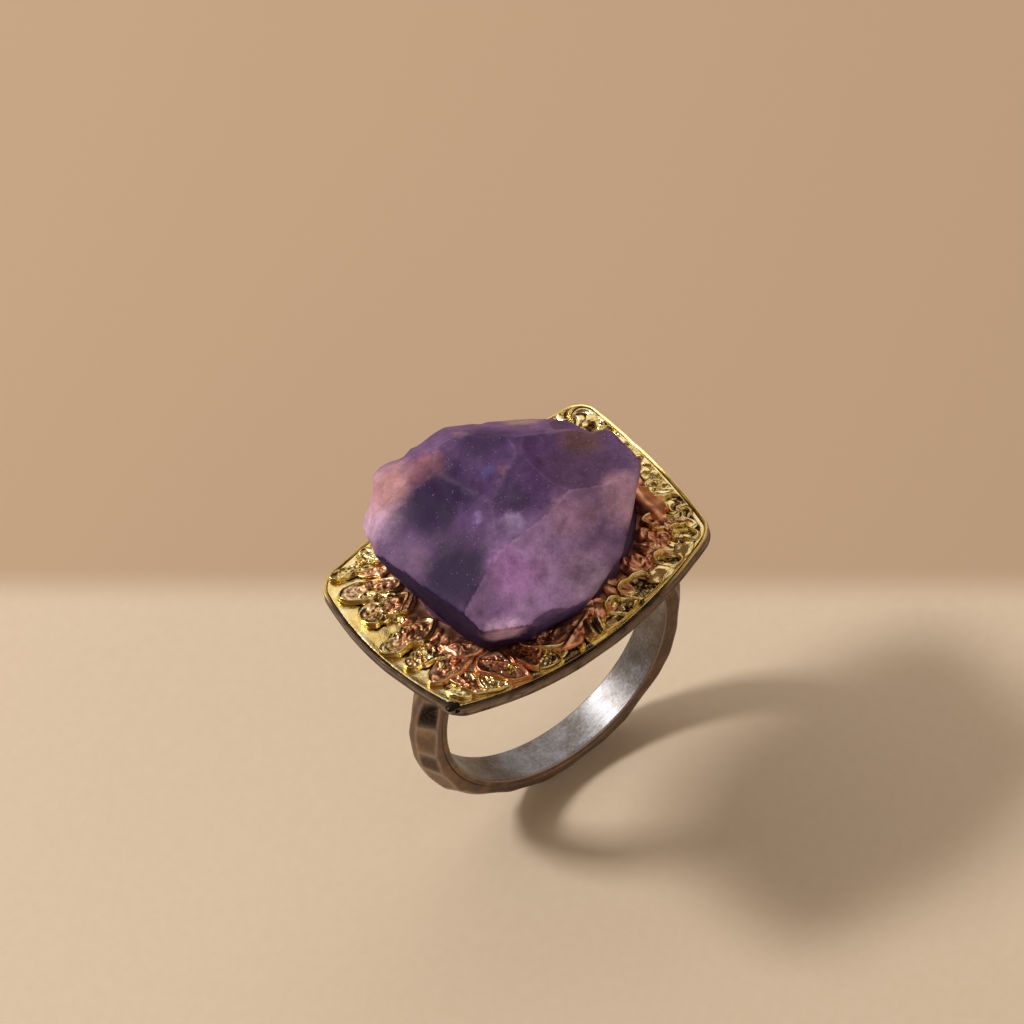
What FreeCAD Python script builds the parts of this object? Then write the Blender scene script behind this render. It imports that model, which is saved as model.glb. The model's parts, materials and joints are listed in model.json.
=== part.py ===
# Cocktail ring: an oxidised silver band carrying a dished cushion-shaped tray of gold and
# rose-gold scraps round a rough amethyst. Millimetres. The origin is the middle of the finger
# bore, +Y runs along the finger, +Z points up to the stone and +X along the tray's long edge.

import FreeCAD
import Part
import Sketcher
import math
import os

from FreeCAD import Placement, Rotation, Vector

doc = FreeCAD.newDocument("cocktail_ring")
sheet = doc.addObject("Spreadsheet::Sheet", "Sizes")

SIZES = {
    # band: a half-round wire bent to a closed hoop, hammered in two rows
    "bore_radius": 8.65,
    "band_width": 2.65,
    "band_edge": 0.45,
    "band_thickness": 1.8,
    "hammer_blows": 24,
    "blow_slope": 36,
    "blow_depth": 0.17,
    "seat_wall": 1.1,
    # tray: corner-to-corner sizes, then how far each side bows out past its corners
    "tray_length": 21.0,
    "tray_width": 14.0,
    "bow_front": 1.67,
    "bow_back": 1.67,
    "bow_left": 1.15,
    "bow_right": 0.5,
    "front_corner": 0.9,
    "back_corner": 2.0,
    "dish_radius": 46.5,
    "base_sheet": 0.5,
    "gold_sheet": 0.3,
    "rim_lip": 0.1,
    "rim_wall": 0.28,
    "seam_radius": 0.32,
    "seam_drop": 0.25,
    # solder fillets under the tray
    "fillet_start": 3.3,
    "fillet_end": 4.9,
    "fillet_width": 1.6,
    "fillet_drop": 0.3,
    # dark cement bed under the stone
    "bed_length": 15.4,
    "bed_width": 12.4,
    "bed_x": 0.8,
    "bed_y": 0.2,
    "bed_thickness": 0.75,
    # scraps of sheet fused round the stone
    "gold_scraps": 30,
    "rose_scraps": 26,
    "scrap_rise": 0.5,
    "scrap_gap": 0.12,
    # amethyst: the middle of the rough, over the bed's top
    "stone_x": 0.8,
    "stone_y": 0.5,
    "stone_middle": 2.2,
    "scoop_radius": 14.0,
    "scoop_depth": 0.45,
    "scoop_out": 3.6,
    "scoop_across": 0.6,
    # the one scrap that stands up against the stone
    "claw_x": 7.75,
    "claw_y": -3.15,
    "claw_rise": 1.35,
    "claw_half_width": 0.55,
}

# The rough's faces: azimuth from +X towards +Y and elevation of the outward normal, in
# degrees, and the face's distance from the middle of the stone in millimetres.
STONE_FACES = {
    "crown_back": (183, 82, 4.5),
    "crown_smoky": (-109, 80, 4.4),
    "crown_dark": (-174, 78, 4.6),
    "crown_pale": (145, 68, 5.6),
    "crown_front": (-94, 55, 5.1),
    "crown_front_right": (-84, 51, 5.2),
    "crown_scoop": (-13, 72, 5.1),
    "shoulder_right": (30, 47, 6.8),
    "shoulder_back_right": (45, 46, 6.1),
    "shoulder_back": (94, 55, 6.8),
    "side_left": (182, -2, 7.5),
    "side_front_left": (-163, -9, 8.0),
    "side_front_mid": (-118, -13, 7.6),
    "side_front": (-110, -18, 7.2),
    "side_front_right": (-75, -14, 6.4),
    "side_right_front": (-52, -10, 6.8),
    "side_right": (7, -12, 7.5),
    "side_back_right": (56, -12, 7.4),
    "side_back": (85, -16, 6.0),
    "side_back_left": (115, -4, 8.6),
}

for row, (alias, number) in enumerate(SIZES.items(), start=1):
    sheet.set(f"A{row}", alias)
    sheet.set(f"B{row}", str(number))
    sheet.setAlias(f"B{row}", alias)
for row, (face, (azimuth, elevation, distance)) in enumerate(STONE_FACES.items(), start=1):
    sheet.set(f"D{row}", face)
    sheet.set(f"E{row}", str(distance))
    sheet.setAlias(f"E{row}", face)
doc.recompute()

# Radii of the dished surfaces, all about one axis along Y high over the ring. The underside
# is the largest, and each layer that lies on it is smaller by its thickness.
LEVELS = {
    "underside": "dish_radius + Sizes.rim_lip + Sizes.gold_sheet + Sizes.base_sheet",
    "base_top": "dish_radius + Sizes.rim_lip + Sizes.gold_sheet",
    "gold_top": "dish_radius + Sizes.rim_lip",
    "rim_top": "dish_radius",
}
DISH_AXIS = "Sizes.bore_radius + Sizes.seat_wall + Sizes." + LEVELS["underside"]
BED_TOP = f"{DISH_AXIS} - Sizes.{LEVELS['gold_top']} + Sizes.bed_thickness"
TRAY_REACH = 60.0
PARTS = []


def size(alias):
    return float(sheet.get(alias))


def add(kind, name, **properties):
    """Adds an object; a text value that names a cell is bound to it, anything else is set."""
    item = doc.addObject(kind, name)
    for key, value in properties.items():
        if isinstance(value, str) and "Sizes." in value:
            item.setExpression(key, value)
        else:
            setattr(item, key, value)
    return item


def place(item, x="0", y="0", z="0"):
    """Binds an object's position to the sheet."""
    for key, value in (("x", x), ("y", y), ("z", z)):
        item.setExpression(f".Placement.Base.{key}", f"1 * ({value})")
    return item


def keep(item, label):
    """Marks an object as one of the ring's pieces, written to a file of its own."""
    item.Label = label
    PARTS.append(item)
    return item


def plane_of(body, role):
    return next(o for o in body.Origin.OriginFeatures if o.Role == role)


def sketch_in(body, name, role):
    sketch = body.newObject("Sketcher::SketchObject", name)
    sketch.AttachmentSupport = (plane_of(body, role), "")
    sketch.MapMode = "FlatFace"
    return sketch


# ---- The hammered band -----------------------------------------------------------------

def half_round_hoop():
    """A hoop of half-round wire: flat inside, straight low edges and a round back."""
    body = doc.addObject("PartDesign::Body", "HoopBody")
    sketch = sketch_in(body, "WireSection", "YZ_Plane")
    half, low, edge = size("band_width") / 2, size("bore_radius"), size("band_edge")
    top = low + size("band_thickness")
    inner_left, inner_right = Vector(-half, low, 0), Vector(half, low, 0)
    outer_left, outer_right = Vector(-half, low + edge, 0), Vector(half, low + edge, 0)
    sketch.addGeometry(Part.LineSegment(inner_left, inner_right))
    sketch.addGeometry(Part.LineSegment(inner_right, outer_right))
    sketch.addGeometry(Part.Arc(outer_right, Vector(0, top, 0), outer_left))
    sketch.addGeometry(Part.LineSegment(outer_left, inner_left))
    for first, second in ((0, 1), (1, 2), (2, 3), (3, 0)):
        sketch.addConstraint(Sketcher.Constraint("Coincident", first, 2, second, 1))
    sketch.addConstraint(Sketcher.Constraint("Vertical", 1))
    sketch.addConstraint(Sketcher.Constraint("Vertical", 3))
    sketch.addConstraint(Sketcher.Constraint("Symmetric", 0, 1, 0, 2, -2))
    sketch.addConstraint(Sketcher.Constraint("PointOnObject", 2, 3, -2))
    driven = (
        (Sketcher.Constraint("DistanceX", 0, 1, 0, 2, 2 * half), "Sizes.band_width"),
        (Sketcher.Constraint("DistanceY", -1, 1, 0, 1, low), "Sizes.bore_radius"),
        (Sketcher.Constraint("DistanceY", 1, 1, 1, 2, edge), "Sizes.band_edge"),
        (Sketcher.Constraint("Radius", 2, half),
         "((Sizes.band_width / 2) ^ 2 + (Sizes.band_thickness - Sizes.band_edge) ^ 2)"
         " / (2 * (Sizes.band_thickness - Sizes.band_edge))"),
    )
    for constraint, expression in driven:
        number = sketch.addConstraint(constraint)
        sketch.setExpression(f"Constraints[{number}]", expression)
    hoop = body.newObject("PartDesign::Revolution", "Hoop")
    hoop.Profile = sketch
    hoop.ReferenceAxis = (sketch, ["H_Axis"])
    hoop.Angle = 360
    return body


def hammered_cone(name, side, turn):
    """A many-sided cone about the finger axis: each flat is one row's blow on the wire."""
    ends = []
    for end in (-1, 1):
        # the flats lean out of the wire's round back and bite into it by the blow's depth
        reach = (
            f"(Sizes.bore_radius + Sizes.band_edge"
            f" + (Sizes.band_width / 2 - Sizes.blow_depth) / cos(Sizes.blow_slope * 1deg)"
            f" + {end * side} * Sizes.band_width * tan(Sizes.blow_slope * 1deg))"
            f" / cos(180deg / Sizes.hammer_blows)"
        )
        polygon = add("Part::RegularPolygon", f"{name}End{end + 1}",
                      Polygon="1 * Sizes.hammer_blows", Circumradius=reach)
        spin = Rotation(Vector(0, 1, 0), turn).multiply(Rotation(Vector(1, 0, 0), 90))
        polygon.Placement = Placement(Vector(), spin)
        polygon.setExpression(".Placement.Base.y", f"{end} * Sizes.band_width")
        ends.append(polygon)
    return add("Part::Loft", name, Sections=ends, Solid=True, Ruled=True)


step = 360 / size("hammer_blows")
hammered = add("Part::MultiCommon", "HammeredHoop",
               Shapes=[half_round_hoop(), hammered_cone("FrontBlows", 1, 0),
                       hammered_cone("BackBlows", -1, step / 2)])


# ---- Dished surfaces and the tray's outline ---------------------------------------------

def dish_cylinder(level, name):
    """The solid inside one dished surface: everything over that level."""
    cylinder = add("Part::Cylinder", name, Radius="1 * Sizes." + LEVELS[level], Height=TRAY_REACH)
    cylinder.Placement = Placement(Vector(0, TRAY_REACH / 2, 0), Rotation(Vector(1, 0, 0), 90))
    cylinder.setExpression(".Placement.Base.z", f"1 * ({DISH_AXIS})")
    return cylinder


def dished_layer(name, low, high):
    """The thickness between two dished surfaces."""
    return add("Part::Cut", name, Base=dish_cylinder(low, name + "Low"),
               Tool=dish_cylinder(high, name + "High"))


def side_radius(half_chord, bow):
    return f"(({half_chord}) ^ 2 + Sizes.{bow} ^ 2) / (2 * Sizes.{bow})"


def cushion_prism(name, inset):
    """A tall prism with the tray's outline, four bowed sides, drawn in by the inset."""
    body = doc.addObject("PartDesign::Body", name)
    sketch = sketch_in(body, name + "Outline", "XY_Plane")
    half_x, half_y = size("tray_length") / 2, size("tray_width") / 2
    corners = [Vector(half_x, -half_y, 0), Vector(half_x, half_y, 0),
               Vector(-half_x, half_y, 0), Vector(-half_x, -half_y, 0)]
    sides = (("right", Vector(1, 0, 0), "tray_length", "tray_width"),
             ("back", Vector(0, 1, 0), "tray_width", "tray_length"),
             ("left", Vector(-1, 0, 0), "tray_length", "tray_width"),
             ("front", Vector(0, -1, 0), "tray_width", "tray_length"))
    for number, (side, outward, across, along) in enumerate(sides):
        bow = size(f"bow_{side}")
        apex = outward * (size(across) / 2 + bow)
        sketch.addGeometry(Part.Arc(corners[number], apex, corners[(number + 1) % 4]))
    for number in range(4):
        sketch.addConstraint(Sketcher.Constraint("Coincident", number, 2, (number + 1) % 4, 1))
    for number, (side, outward, across, along) in enumerate(sides):
        radius = side_radius(f"Sizes.{along} / 2", f"bow_{side}")
        axis = -1 if outward.x else -2
        sketch.addConstraint(Sketcher.Constraint("PointOnObject", number, 3, axis))
        arc = sketch.Geometry[number]
        tie = sketch.addConstraint(Sketcher.Constraint("Radius", number, arc.Radius))
        sketch.setExpression(f"Constraints[{tie}]", f"{radius} - {inset}")
        kind = "DistanceX" if outward.x else "DistanceY"
        sign = outward.x + outward.y
        start = (-1, 1, number, 3) if sign < 0 else (number, 3, -1, 1)
        reach = abs(arc.Center.x + arc.Center.y)
        tie = sketch.addConstraint(Sketcher.Constraint(kind, *start, reach))
        sketch.setExpression(f"Constraints[{tie}]",
                             f"{radius} - Sizes.{across} / 2 - Sizes.bow_{side}")
    pad = body.newObject("PartDesign::Pad", name + "Pad")
    pad.Profile = sketch
    pad.Length = TRAY_REACH / 2
    doc.recompute()
    for where, radius, wanted in (("Front", "front_corner", -1), ("Back", "back_corner", 1)):
        base = body.Tip
        fillet = body.newObject("PartDesign::Fillet", name + where)
        fillet.Base = (base, upright_edges(base.Shape, wanted))
        fillet.setExpression("Radius", f"Sizes.{radius} - {inset}")
        body.Tip = fillet
        doc.recompute()
    return body


def upright_edges(shape, wanted):
    """Names of the upright edges on the front (-1) or the back (+1) that meet at a corner."""
    names = []
    for number, edge in enumerate(shape.Edges, start=1):
        low, high = edge.BoundBox.ZMin, edge.BoundBox.ZMax
        upright = edge.BoundBox.XLength < 1e-6 and edge.BoundBox.YLength < 1e-6 and high > low
        sharp = abs(abs(edge.CenterOfMass.x) - size("tray_length") / 2) < size("rim_wall") * 2
        if upright and sharp and edge.CenterOfMass.y * wanted > 0:
            names.append(f"Edge{number}")
    return names[:2]


outline = cushion_prism("TrayPrism", "0")
inner_outline = cushion_prism("InnerPrism", "Sizes.rim_wall")

keep(add("Part::Common", "BasePlate", Base=inner_outline,
         Tool=dished_layer("BaseLayer", "underside", "base_top")), "base_plate")
keep(add("Part::Common", "GoldPlate", Base=inner_outline,
         Tool=dished_layer("GoldLayer", "base_top", "gold_top")), "gold_plate")


# ---- The rim strip, closed at the front left corner with a soldered seam ----------------

rim_walls = add("Part::Cut", "RimWalls", Base=outline, Tool=inner_outline)
rim_full = add("Part::Common", "RimFull", Base=rim_walls,
               Tool=dished_layer("RimLayer", "underside", "rim_top"))


def seam_post(name, top):
    """An upright post through the strip at its front left corner."""
    post = add("Part::Cylinder", name, Radius="1 * Sizes.seam_radius", Height=top)
    inset = "0.29 * Sizes.front_corner"
    return place(post, x=f"-Sizes.tray_length / 2 + {inset}", y=f"-Sizes.tray_width / 2 + {inset}")


CORNER_TOP = f"{DISH_AXIS} - sqrt(Sizes.dish_radius ^ 2 - (Sizes.tray_length / 2) ^ 2)"
keep(add("Part::Cut", "RimStrip", Base=rim_full, Tool=seam_post("SeamSlot", DISH_AXIS)),
     "rim_strip")
keep(add("Part::Common", "SeamSolder", Base=rim_full,
         Tool=seam_post("SeamFill", f"{CORNER_TOP} - Sizes.seam_drop")), "rim_seam_solder")


# ---- The band filed to the tray's underside, and its two solder fillets ------------------

band = keep(add("Part::Cut", "Band", Base=hammered, Tool=dish_cylinder("underside", "BandSeat")),
            "hammered_band")
for side, sign in (("left", -1), ("right", 1)):
    bead = add("Part::Box", f"Bead{side}", Length="Sizes.fillet_end - Sizes.fillet_start",
               Width="1 * Sizes.fillet_width", Height="Sizes.band_thickness + Sizes.seat_wall")
    near = "Sizes.fillet_start" if sign > 0 else "-Sizes.fillet_end"
    place(bead, x=near, y="-Sizes.fillet_width / 2", z="Sizes.bore_radius + Sizes.fillet_drop")
    under = add("Part::Cut", f"BeadUnder{side}", Base=bead,
                Tool=dish_cylinder("underside", f"BeadTop{side}"))
    keep(add("Part::Cut", f"Fillet{side}", Base=under, Tool=band), f"solder_fillet_{side}")


# ---- The cement bed and the amethyst ----------------------------------------------------

bed_outline = add("Part::Ellipse", "BedOutline", MajorRadius="Sizes.bed_length / 2",
                  MinorRadius="Sizes.bed_width / 2")
place(bed_outline, x="Sizes.bed_x", y="Sizes.bed_y")
bed_column = add("Part::Extrusion", "BedColumn", Base=bed_outline, DirMode="Custom",
                 Dir=Vector(0, 0, 1), LengthFwd=BED_TOP, Solid=True)
bed = keep(add("Part::Common", "StoneBed", Base=bed_column, Tool=dish_cylinder("gold_top", "BedFloor")),
           "cement_bed")

ROUGH = 40.0


def half_space(name, azimuth, elevation, distance):
    """A big block whose top face is one face of the rough, about the middle of the stone."""
    block = add("Part::Box", name, Length=ROUGH, Width=ROUGH, Height=f"{ROUGH} + {distance}")
    lean = Rotation(Vector(0, 0, 1), azimuth).multiply(Rotation(Vector(0, 1, 0), 90 - elevation))
    corner = Vector(-ROUGH / 2, -ROUGH / 2, -ROUGH)
    block.Placement = Placement(lean.multVec(corner), lean)
    return block


blocks = [half_space(f"Face_{face}", azimuth, elevation, f"Sizes.{face}")
          for face, (azimuth, elevation, distance) in STONE_FACES.items()]
blocks.append(half_space("Face_bottom", 0, -90, "Sizes.stone_middle"))
rough = add("Part::MultiCommon", "Rough", Shapes=blocks)

azimuth, elevation, distance = STONE_FACES["crown_scoop"]
lean = Rotation(Vector(0, 0, 1), azimuth).multiply(Rotation(Vector(0, 1, 0), 90 - elevation))
scoop = add("Part::Sphere", "Scoop", Radius="1 * Sizes.scoop_radius")
reach = "(Sizes.crown_scoop + Sizes.scoop_radius - Sizes.scoop_depth)"
middle = lean.multVec(Vector(size("scoop_out"), size("scoop_across"), 0))
outward = lean.multVec(Vector(0, 0, 1))
place(scoop, x=f"{middle.x:.3f} + {outward.x:.4f} * {reach}",
      y=f"{middle.y:.3f} + {outward.y:.4f} * {reach}",
      z=f"{middle.z:.3f} + {outward.z:.4f} * {reach}")
stone = keep(add("Part::Cut", "Amethyst", Base=rough, Tool=scoop), "amethyst")
place(stone, x="Sizes.stone_x", y="Sizes.stone_y", z=f"{BED_TOP} + Sizes.stone_middle")
doc.recompute()


# ---- The scraps of sheet round the stone -------------------------------------------------

def rim_reach(angle):
    """How far the inside of the rim lies from the middle of the tray along one ray."""
    ray, reaches = Vector(math.cos(angle), math.sin(angle), 0), []
    for outward, across, along, bow in (
            (Vector(1, 0, 0), "tray_length", "tray_width", "bow_right"),
            (Vector(0, 1, 0), "tray_width", "tray_length", "bow_back"),
            (Vector(-1, 0, 0), "tray_length", "tray_width", "bow_left"),
            (Vector(0, -1, 0), "tray_width", "tray_length", "bow_front")):
        chord = size(along) / 2
        radius = (chord ** 2 + size(bow) ** 2) / (2 * size(bow))
        centre = outward * (size(across) / 2 + size(bow) - radius)
        inner = radius - size("rim_wall")
        reaches.append(ray.dot(centre) + math.sqrt(inner ** 2 - centre.Length ** 2
                                                   + ray.dot(centre) ** 2))
    return min(reaches)


def bed_reach(angle):
    """How far the edge of the cement bed lies along the same ray."""
    a, b = size("bed_length") / 2, size("bed_width") / 2
    x, y = math.cos(angle) / a, math.sin(angle) / b
    shift_x, shift_y = size("bed_x") / a, size("bed_y") / b
    square, half, rest = x * x + y * y, x * shift_x + y * shift_y, shift_x ** 2 + shift_y ** 2 - 1
    return (half + math.sqrt(half ** 2 - square * rest)) / square


def even_angles(count, share):
    """Angles that put a number of scraps evenly along the ring between bed and rim."""
    angles = [math.tau * n / 720 for n in range(721)]
    points = []
    for angle in angles:
        reach = bed_reach(angle) + share * (rim_reach(angle) - bed_reach(angle))
        points.append(Vector(reach * math.cos(angle), reach * math.sin(angle), 0))
    lengths = [0.0]
    for first, second in zip(points, points[1:]):
        lengths.append(lengths[-1] + first.distanceToPoint(second))
    pitch = lengths[-1] / count
    return pitch, [angles[next(n for n, done in enumerate(lengths) if done >= pitch * turn)]
                   for turn in range(count)]


def scrap(name, angle, share, radial, pitch, tilt):
    """One scrap: a thick leaf set on the gold plate, its outer end lifted by the tilt."""
    gap = rim_reach(angle) - bed_reach(angle)
    reach = bed_reach(angle) + share * gap
    rise = size("scrap_rise")
    leaf = add("Part::Ellipsoid", name, Radius1=rise, Radius2=radial * gap,
               Radius3=pitch / 2 - size("scrap_gap") / 2, Angle1=-90, Angle2=90)
    leaf.setExpression("Radius1", "1 * Sizes.scrap_rise")
    x, y = reach * math.cos(angle), reach * math.sin(angle)
    leaf.Placement = Placement(Vector(x, y, 0), Rotation(Vector(0, 0, 1), math.degrees(angle))
                               .multiply(Rotation(Vector(0, 1, 0), -tilt)))
    level = LEVELS["gold_top"]
    leaf.setExpression(".Placement.Base.z",
                       f"{DISH_AXIS} - sqrt((Sizes.{level}) ^ 2 - {x * x:.4f}) + "
                       f"Sizes.scrap_rise / 4")
    return leaf


def side_of(angle):
    """The side of the tray a ray points to, split at the corners."""
    x, y = math.cos(angle) / size("tray_length"), math.sin(angle) / size("tray_width")
    if abs(x) > abs(y):
        return "right" if x > 0 else "left"
    return "back" if y > 0 else "front"


def beside_claw(metal, angle, share, pitch):
    """Whether a rose scrap's place is taken by the claw, which stands in its row."""
    reach = bed_reach(angle) + share * (rim_reach(angle) - bed_reach(angle))
    away_x = reach * math.cos(angle) - size("claw_x")
    away_y = reach * math.sin(angle) - size("claw_y")
    return metal == "rose" and math.hypot(away_x, away_y) < pitch


for metal, share, radial in (("gold", 0.71, 0.2), ("rose", 0.25, 0.18)):
    count = int(size(f"{metal}_scraps"))
    pitch, angles = even_angles(count, share)
    for side in ("left", "front", "right", "back"):
        leaves = [scrap(f"{metal}_{side}_{n}", angle, share, radial, pitch, 8 + 7 * (n % 3))
                  for n, angle in enumerate(angles)
                  if side_of(angle) == side and not beside_claw(metal, angle, share, pitch)]
        group = add("Part::Compound", f"{metal}_{side}", Links=leaves)
        seated = add("Part::Common", f"{metal}_{side}_seated", Base=group,
                     Tool=dish_cylinder("gold_top", f"{metal}_{side}_floor"))
        keep(add("Part::Cut", f"{metal}_{side}_set", Base=seated, Tool=stone),
             f"{metal}_scraps_{side}")

# one rose scrap stands on the plate and laps the stone's right side like a claw
claw = add("Part::Ellipsoid", "ClawBlank", Radius1="1 * Sizes.claw_rise",
           Radius2="1 * Sizes.claw_half_width", Radius3="1 * Sizes.claw_half_width",
           Angle1=-90, Angle2=90)
claw.Placement = Placement(Vector(), Rotation(Vector(0, 1, 0), -12))
place(claw, x="Sizes.claw_x", y="Sizes.claw_y", z=BED_TOP)
claw = add("Part::Common", "ClawUp", Base=claw, Tool=dish_cylinder("gold_top", "ClawFloor"))
for number, neighbour in enumerate((stone, bed)):
    claw = add("Part::Cut", f"ClawCut{number}", Base=claw, Tool=neighbour)
keep(claw, "rose_claw")


# ---- Write every piece --------------------------------------------------------------------

doc.recompute()
faulty = [item.Name for item in doc.Objects if {"Invalid", "Error"} & set(item.State)]
if faulty:
    raise RuntimeError(f"failed objects: {faulty}")
os.makedirs("parts", exist_ok=True)
for piece in PARTS:
    if piece.Shape.isNull() or not piece.Shape.isValid():
        raise RuntimeError(f"bad shape: {piece.Label}")
    piece.Shape.exportStep(f"parts/{piece.Label}.step")
    print(f"{piece.Label}: {len(piece.Shape.Solids)} solids, {piece.Shape.Volume:.2f} mm3")
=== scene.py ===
import json
import math

import bmesh
import bpy
import numpy as np
from mathutils import Matrix, Vector


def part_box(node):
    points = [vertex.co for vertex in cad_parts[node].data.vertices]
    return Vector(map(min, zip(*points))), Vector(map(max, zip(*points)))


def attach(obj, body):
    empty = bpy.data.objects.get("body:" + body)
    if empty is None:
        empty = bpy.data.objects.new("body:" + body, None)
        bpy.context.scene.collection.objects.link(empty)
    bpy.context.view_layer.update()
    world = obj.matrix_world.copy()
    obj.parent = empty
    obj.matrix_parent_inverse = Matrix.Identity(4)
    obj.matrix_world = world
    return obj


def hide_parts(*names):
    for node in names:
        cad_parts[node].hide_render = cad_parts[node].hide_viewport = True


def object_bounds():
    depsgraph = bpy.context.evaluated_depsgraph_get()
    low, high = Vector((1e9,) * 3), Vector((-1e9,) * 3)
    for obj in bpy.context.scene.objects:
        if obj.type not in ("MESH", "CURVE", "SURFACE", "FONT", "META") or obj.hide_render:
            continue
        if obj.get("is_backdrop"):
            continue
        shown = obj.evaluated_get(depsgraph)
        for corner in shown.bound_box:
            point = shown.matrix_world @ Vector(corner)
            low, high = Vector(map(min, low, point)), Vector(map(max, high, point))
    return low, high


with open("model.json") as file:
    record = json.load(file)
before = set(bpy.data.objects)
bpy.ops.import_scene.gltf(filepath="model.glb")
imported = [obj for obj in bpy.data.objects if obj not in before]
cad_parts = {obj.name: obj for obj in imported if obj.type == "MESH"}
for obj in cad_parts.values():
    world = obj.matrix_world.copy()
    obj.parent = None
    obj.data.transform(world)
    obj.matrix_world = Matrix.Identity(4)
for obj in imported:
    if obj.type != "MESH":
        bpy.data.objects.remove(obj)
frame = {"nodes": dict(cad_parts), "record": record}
cad_low, cad_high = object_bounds()


# ---- The hammered band ----
# A hoop of half-round sterling silver wire. Two rows of hammer blows meet in a zigzag along its
# back. It is blackened in liver of sulphur, rubbed bright on the ridges and polished inside.

MM = 0.001
band_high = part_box("hammered_band")[1]
bore = next(mount for mount in frame["record"]["mounts"] if mount["name"] == "finger_bore")
BORE_RADIUS = bore["dims"]["r_mm"]
BAND_HALF_WIDTH = band_high.y / MM
BAND_EDGE = 0.45
BAND_BACK = 1.325
SHOULDER_SWELL, CROWN_SWELL = 0.16, 0.1
HAMMER_BLOWS = 25
BLOW_LEAN = 37
BLOW_DEPTH = 0.21
DARKEST_BLOW = 20
BLOW_HOLLOW = 0.07
BLOW_SPREAD = 0.6
RIDGE_SOFTNESS = 0.022
RIDGE_WEAR = 0.07
FACING_BLOW = 0.9
OUT_OF_REACH = 9.0
PLAIN_TONE, DARKEST_TONE = 0.35, 2.2
BRIM = 0.11
WIRE_MIDDLE = BORE_RADIUS + BAND_EDGE

DISH_MIDDLE = 57.15
UNDERSIDE = 47.4

SILVER = "#b3a598"
LIVER_BROWN = "#7b6b60"
LIVER_BLACK = "#221c18"
COPPER_TINT = "#a08069"
POLISHED_SILVER = "#969598"


def dish(x, radius):
    """Height of one of the tray's dished surfaces, which bend along X only."""
    return DISH_MIDDLE - np.sqrt(radius ** 2 - x ** 2)


def piece_from(name, points, faces, material, **worn):
    """A smooth mesh from points in millimetres, with one named value per point for each finish,
    painted light or painted shade.
    """
    mesh = bpy.data.meshes.new(name)
    mesh.from_pydata((np.reshape(points, (-1, 3)) * MM).tolist(), [], faces)
    for finish, values in worn.items():
        layer = mesh.attributes.new(finish, "FLOAT", "POINT")
        layer.data.foreach_set("value", np.asarray(values, np.float32).ravel())
    mesh.shade_smooth()
    mesh.materials.append(material)
    piece = bpy.data.objects.new(name, mesh)
    bpy.context.scene.collection.objects.link(piece)
    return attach(piece, "root")


def loop_faces(rows, columns, closed_rows):
    """Quads between closed rows of points; the last row joins the first, or both are capped."""
    faces = []
    for row in range(rows if closed_rows else rows - 1):
        near, far = row * columns, (row + 1) % rows * columns
        for column in range(columns):
            after = (column + 1) % columns
            faces.append((near + column, near + after, far + after, far + column))
    if not closed_rows:
        faces += [tuple(range(columns))[::-1], tuple(range((rows - 1) * columns, rows * columns))]
    return faces


def linear(colour):
    """A hex colour as the linear red, green, blue and alpha that a shader takes."""
    parts = [int(colour[start:start + 2], 16) / 255 for start in (1, 3, 5)]
    return [part / 12.92 if part < 0.04045 else ((part + 0.055) / 1.055) ** 2.4
            for part in parts] + [1]


def feed(made, *fed):
    """Give sockets of a shader node a value, a hex colour, or a link from another node."""
    for socket, source in fed:
        if isinstance(source, bpy.types.Node):
            source = next(out for out in source.outputs if out.enabled)
        if isinstance(source, bpy.types.NodeSocket):
            made.id_data.links.new(source, made.inputs[socket])
        else:
            value = linear(source) if isinstance(source, str) else source
            made.inputs[socket].default_value = value


def node(tree, kind, *fed, **settings):
    """Add a shader node: its own settings by name, then what each socket is fed."""
    made = tree.nodes.new("ShaderNode" + kind)
    for setting, value in settings.items():
        setattr(made, setting, value)
    feed(made, *fed)
    return made


def blank_material(name):
    """A material with one principled shader, and where its pattern lies on the piece, in mm."""
    material = bpy.data.materials.new(name)
    material.use_nodes = True
    tree = material.node_tree
    tree.nodes.clear()
    shader = node(tree, "BsdfPrincipled")
    node(tree, "OutputMaterial", ("Surface", shader))
    place = node(tree, "TexCoord").outputs["Object"]
    metres = node(tree, "VectorMath", (0, place), ("Scale", 1 / MM), operation="SCALE")
    return material, tree, shader, metres


# Oxidised sterling silver, hammered: brown-black in the hollows of the blows and a rubbed, warm
# grey on the ridges. Inside it is polished, with fine scratches round the finger.
# Sockets by number, here and below: a colour mix has its share at 0 and its two colours at 6 and
# 7, a plain mix its two values at 2 and 3; a map range reads from 1 to 2 and gives 3 to 4.
oxidised_silver, tree, shader, place = blank_material("oxidised_sterling_hammered")
wear, tone, inside = [node(tree, "Attribute", attribute_name=name).outputs["Fac"]
                      for name in ("wear", "tone", "inside")]
cloud = node(tree, "TexNoise", ("Vector", place), ("Scale", 1.1), ("Detail", 6), ("Roughness", 0.62))
# tarnish clings in flecks of 0.05 mm, drawn here at 0.2 mm so that they show
fleck = node(tree, "TexNoise", ("Vector", place), ("Scale", 5), ("Detail", 4), ("Roughness", 0.7))
warmth = node(tree, "MapRange", ("Value", cloud), (1, 0.45), (2, 0.7))
brown = node(tree, "Mix", (0, warmth), (6, LIVER_BROWN), (7, COPPER_TINT), data_type="RGBA")
dark = node(tree, "Math", (0, tone), (1, fleck), (2, -0.12), operation="MULTIPLY_ADD")
deep = node(tree, "Mix", (0, dark), (6, brown), (7, LIVER_BLACK), data_type="RGBA")
rubbed = node(tree, "Math", (0, fleck), (1, wear), (2, wear), operation="MULTIPLY_ADD")
rubbed = node(tree, "MapRange", ("Value", rubbed), (1, 0.1), (2, 1.45), (4, 0.7))
outside = node(tree, "Mix", (0, rubbed), (6, deep), (7, SILVER), data_type="RGBA")
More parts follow.
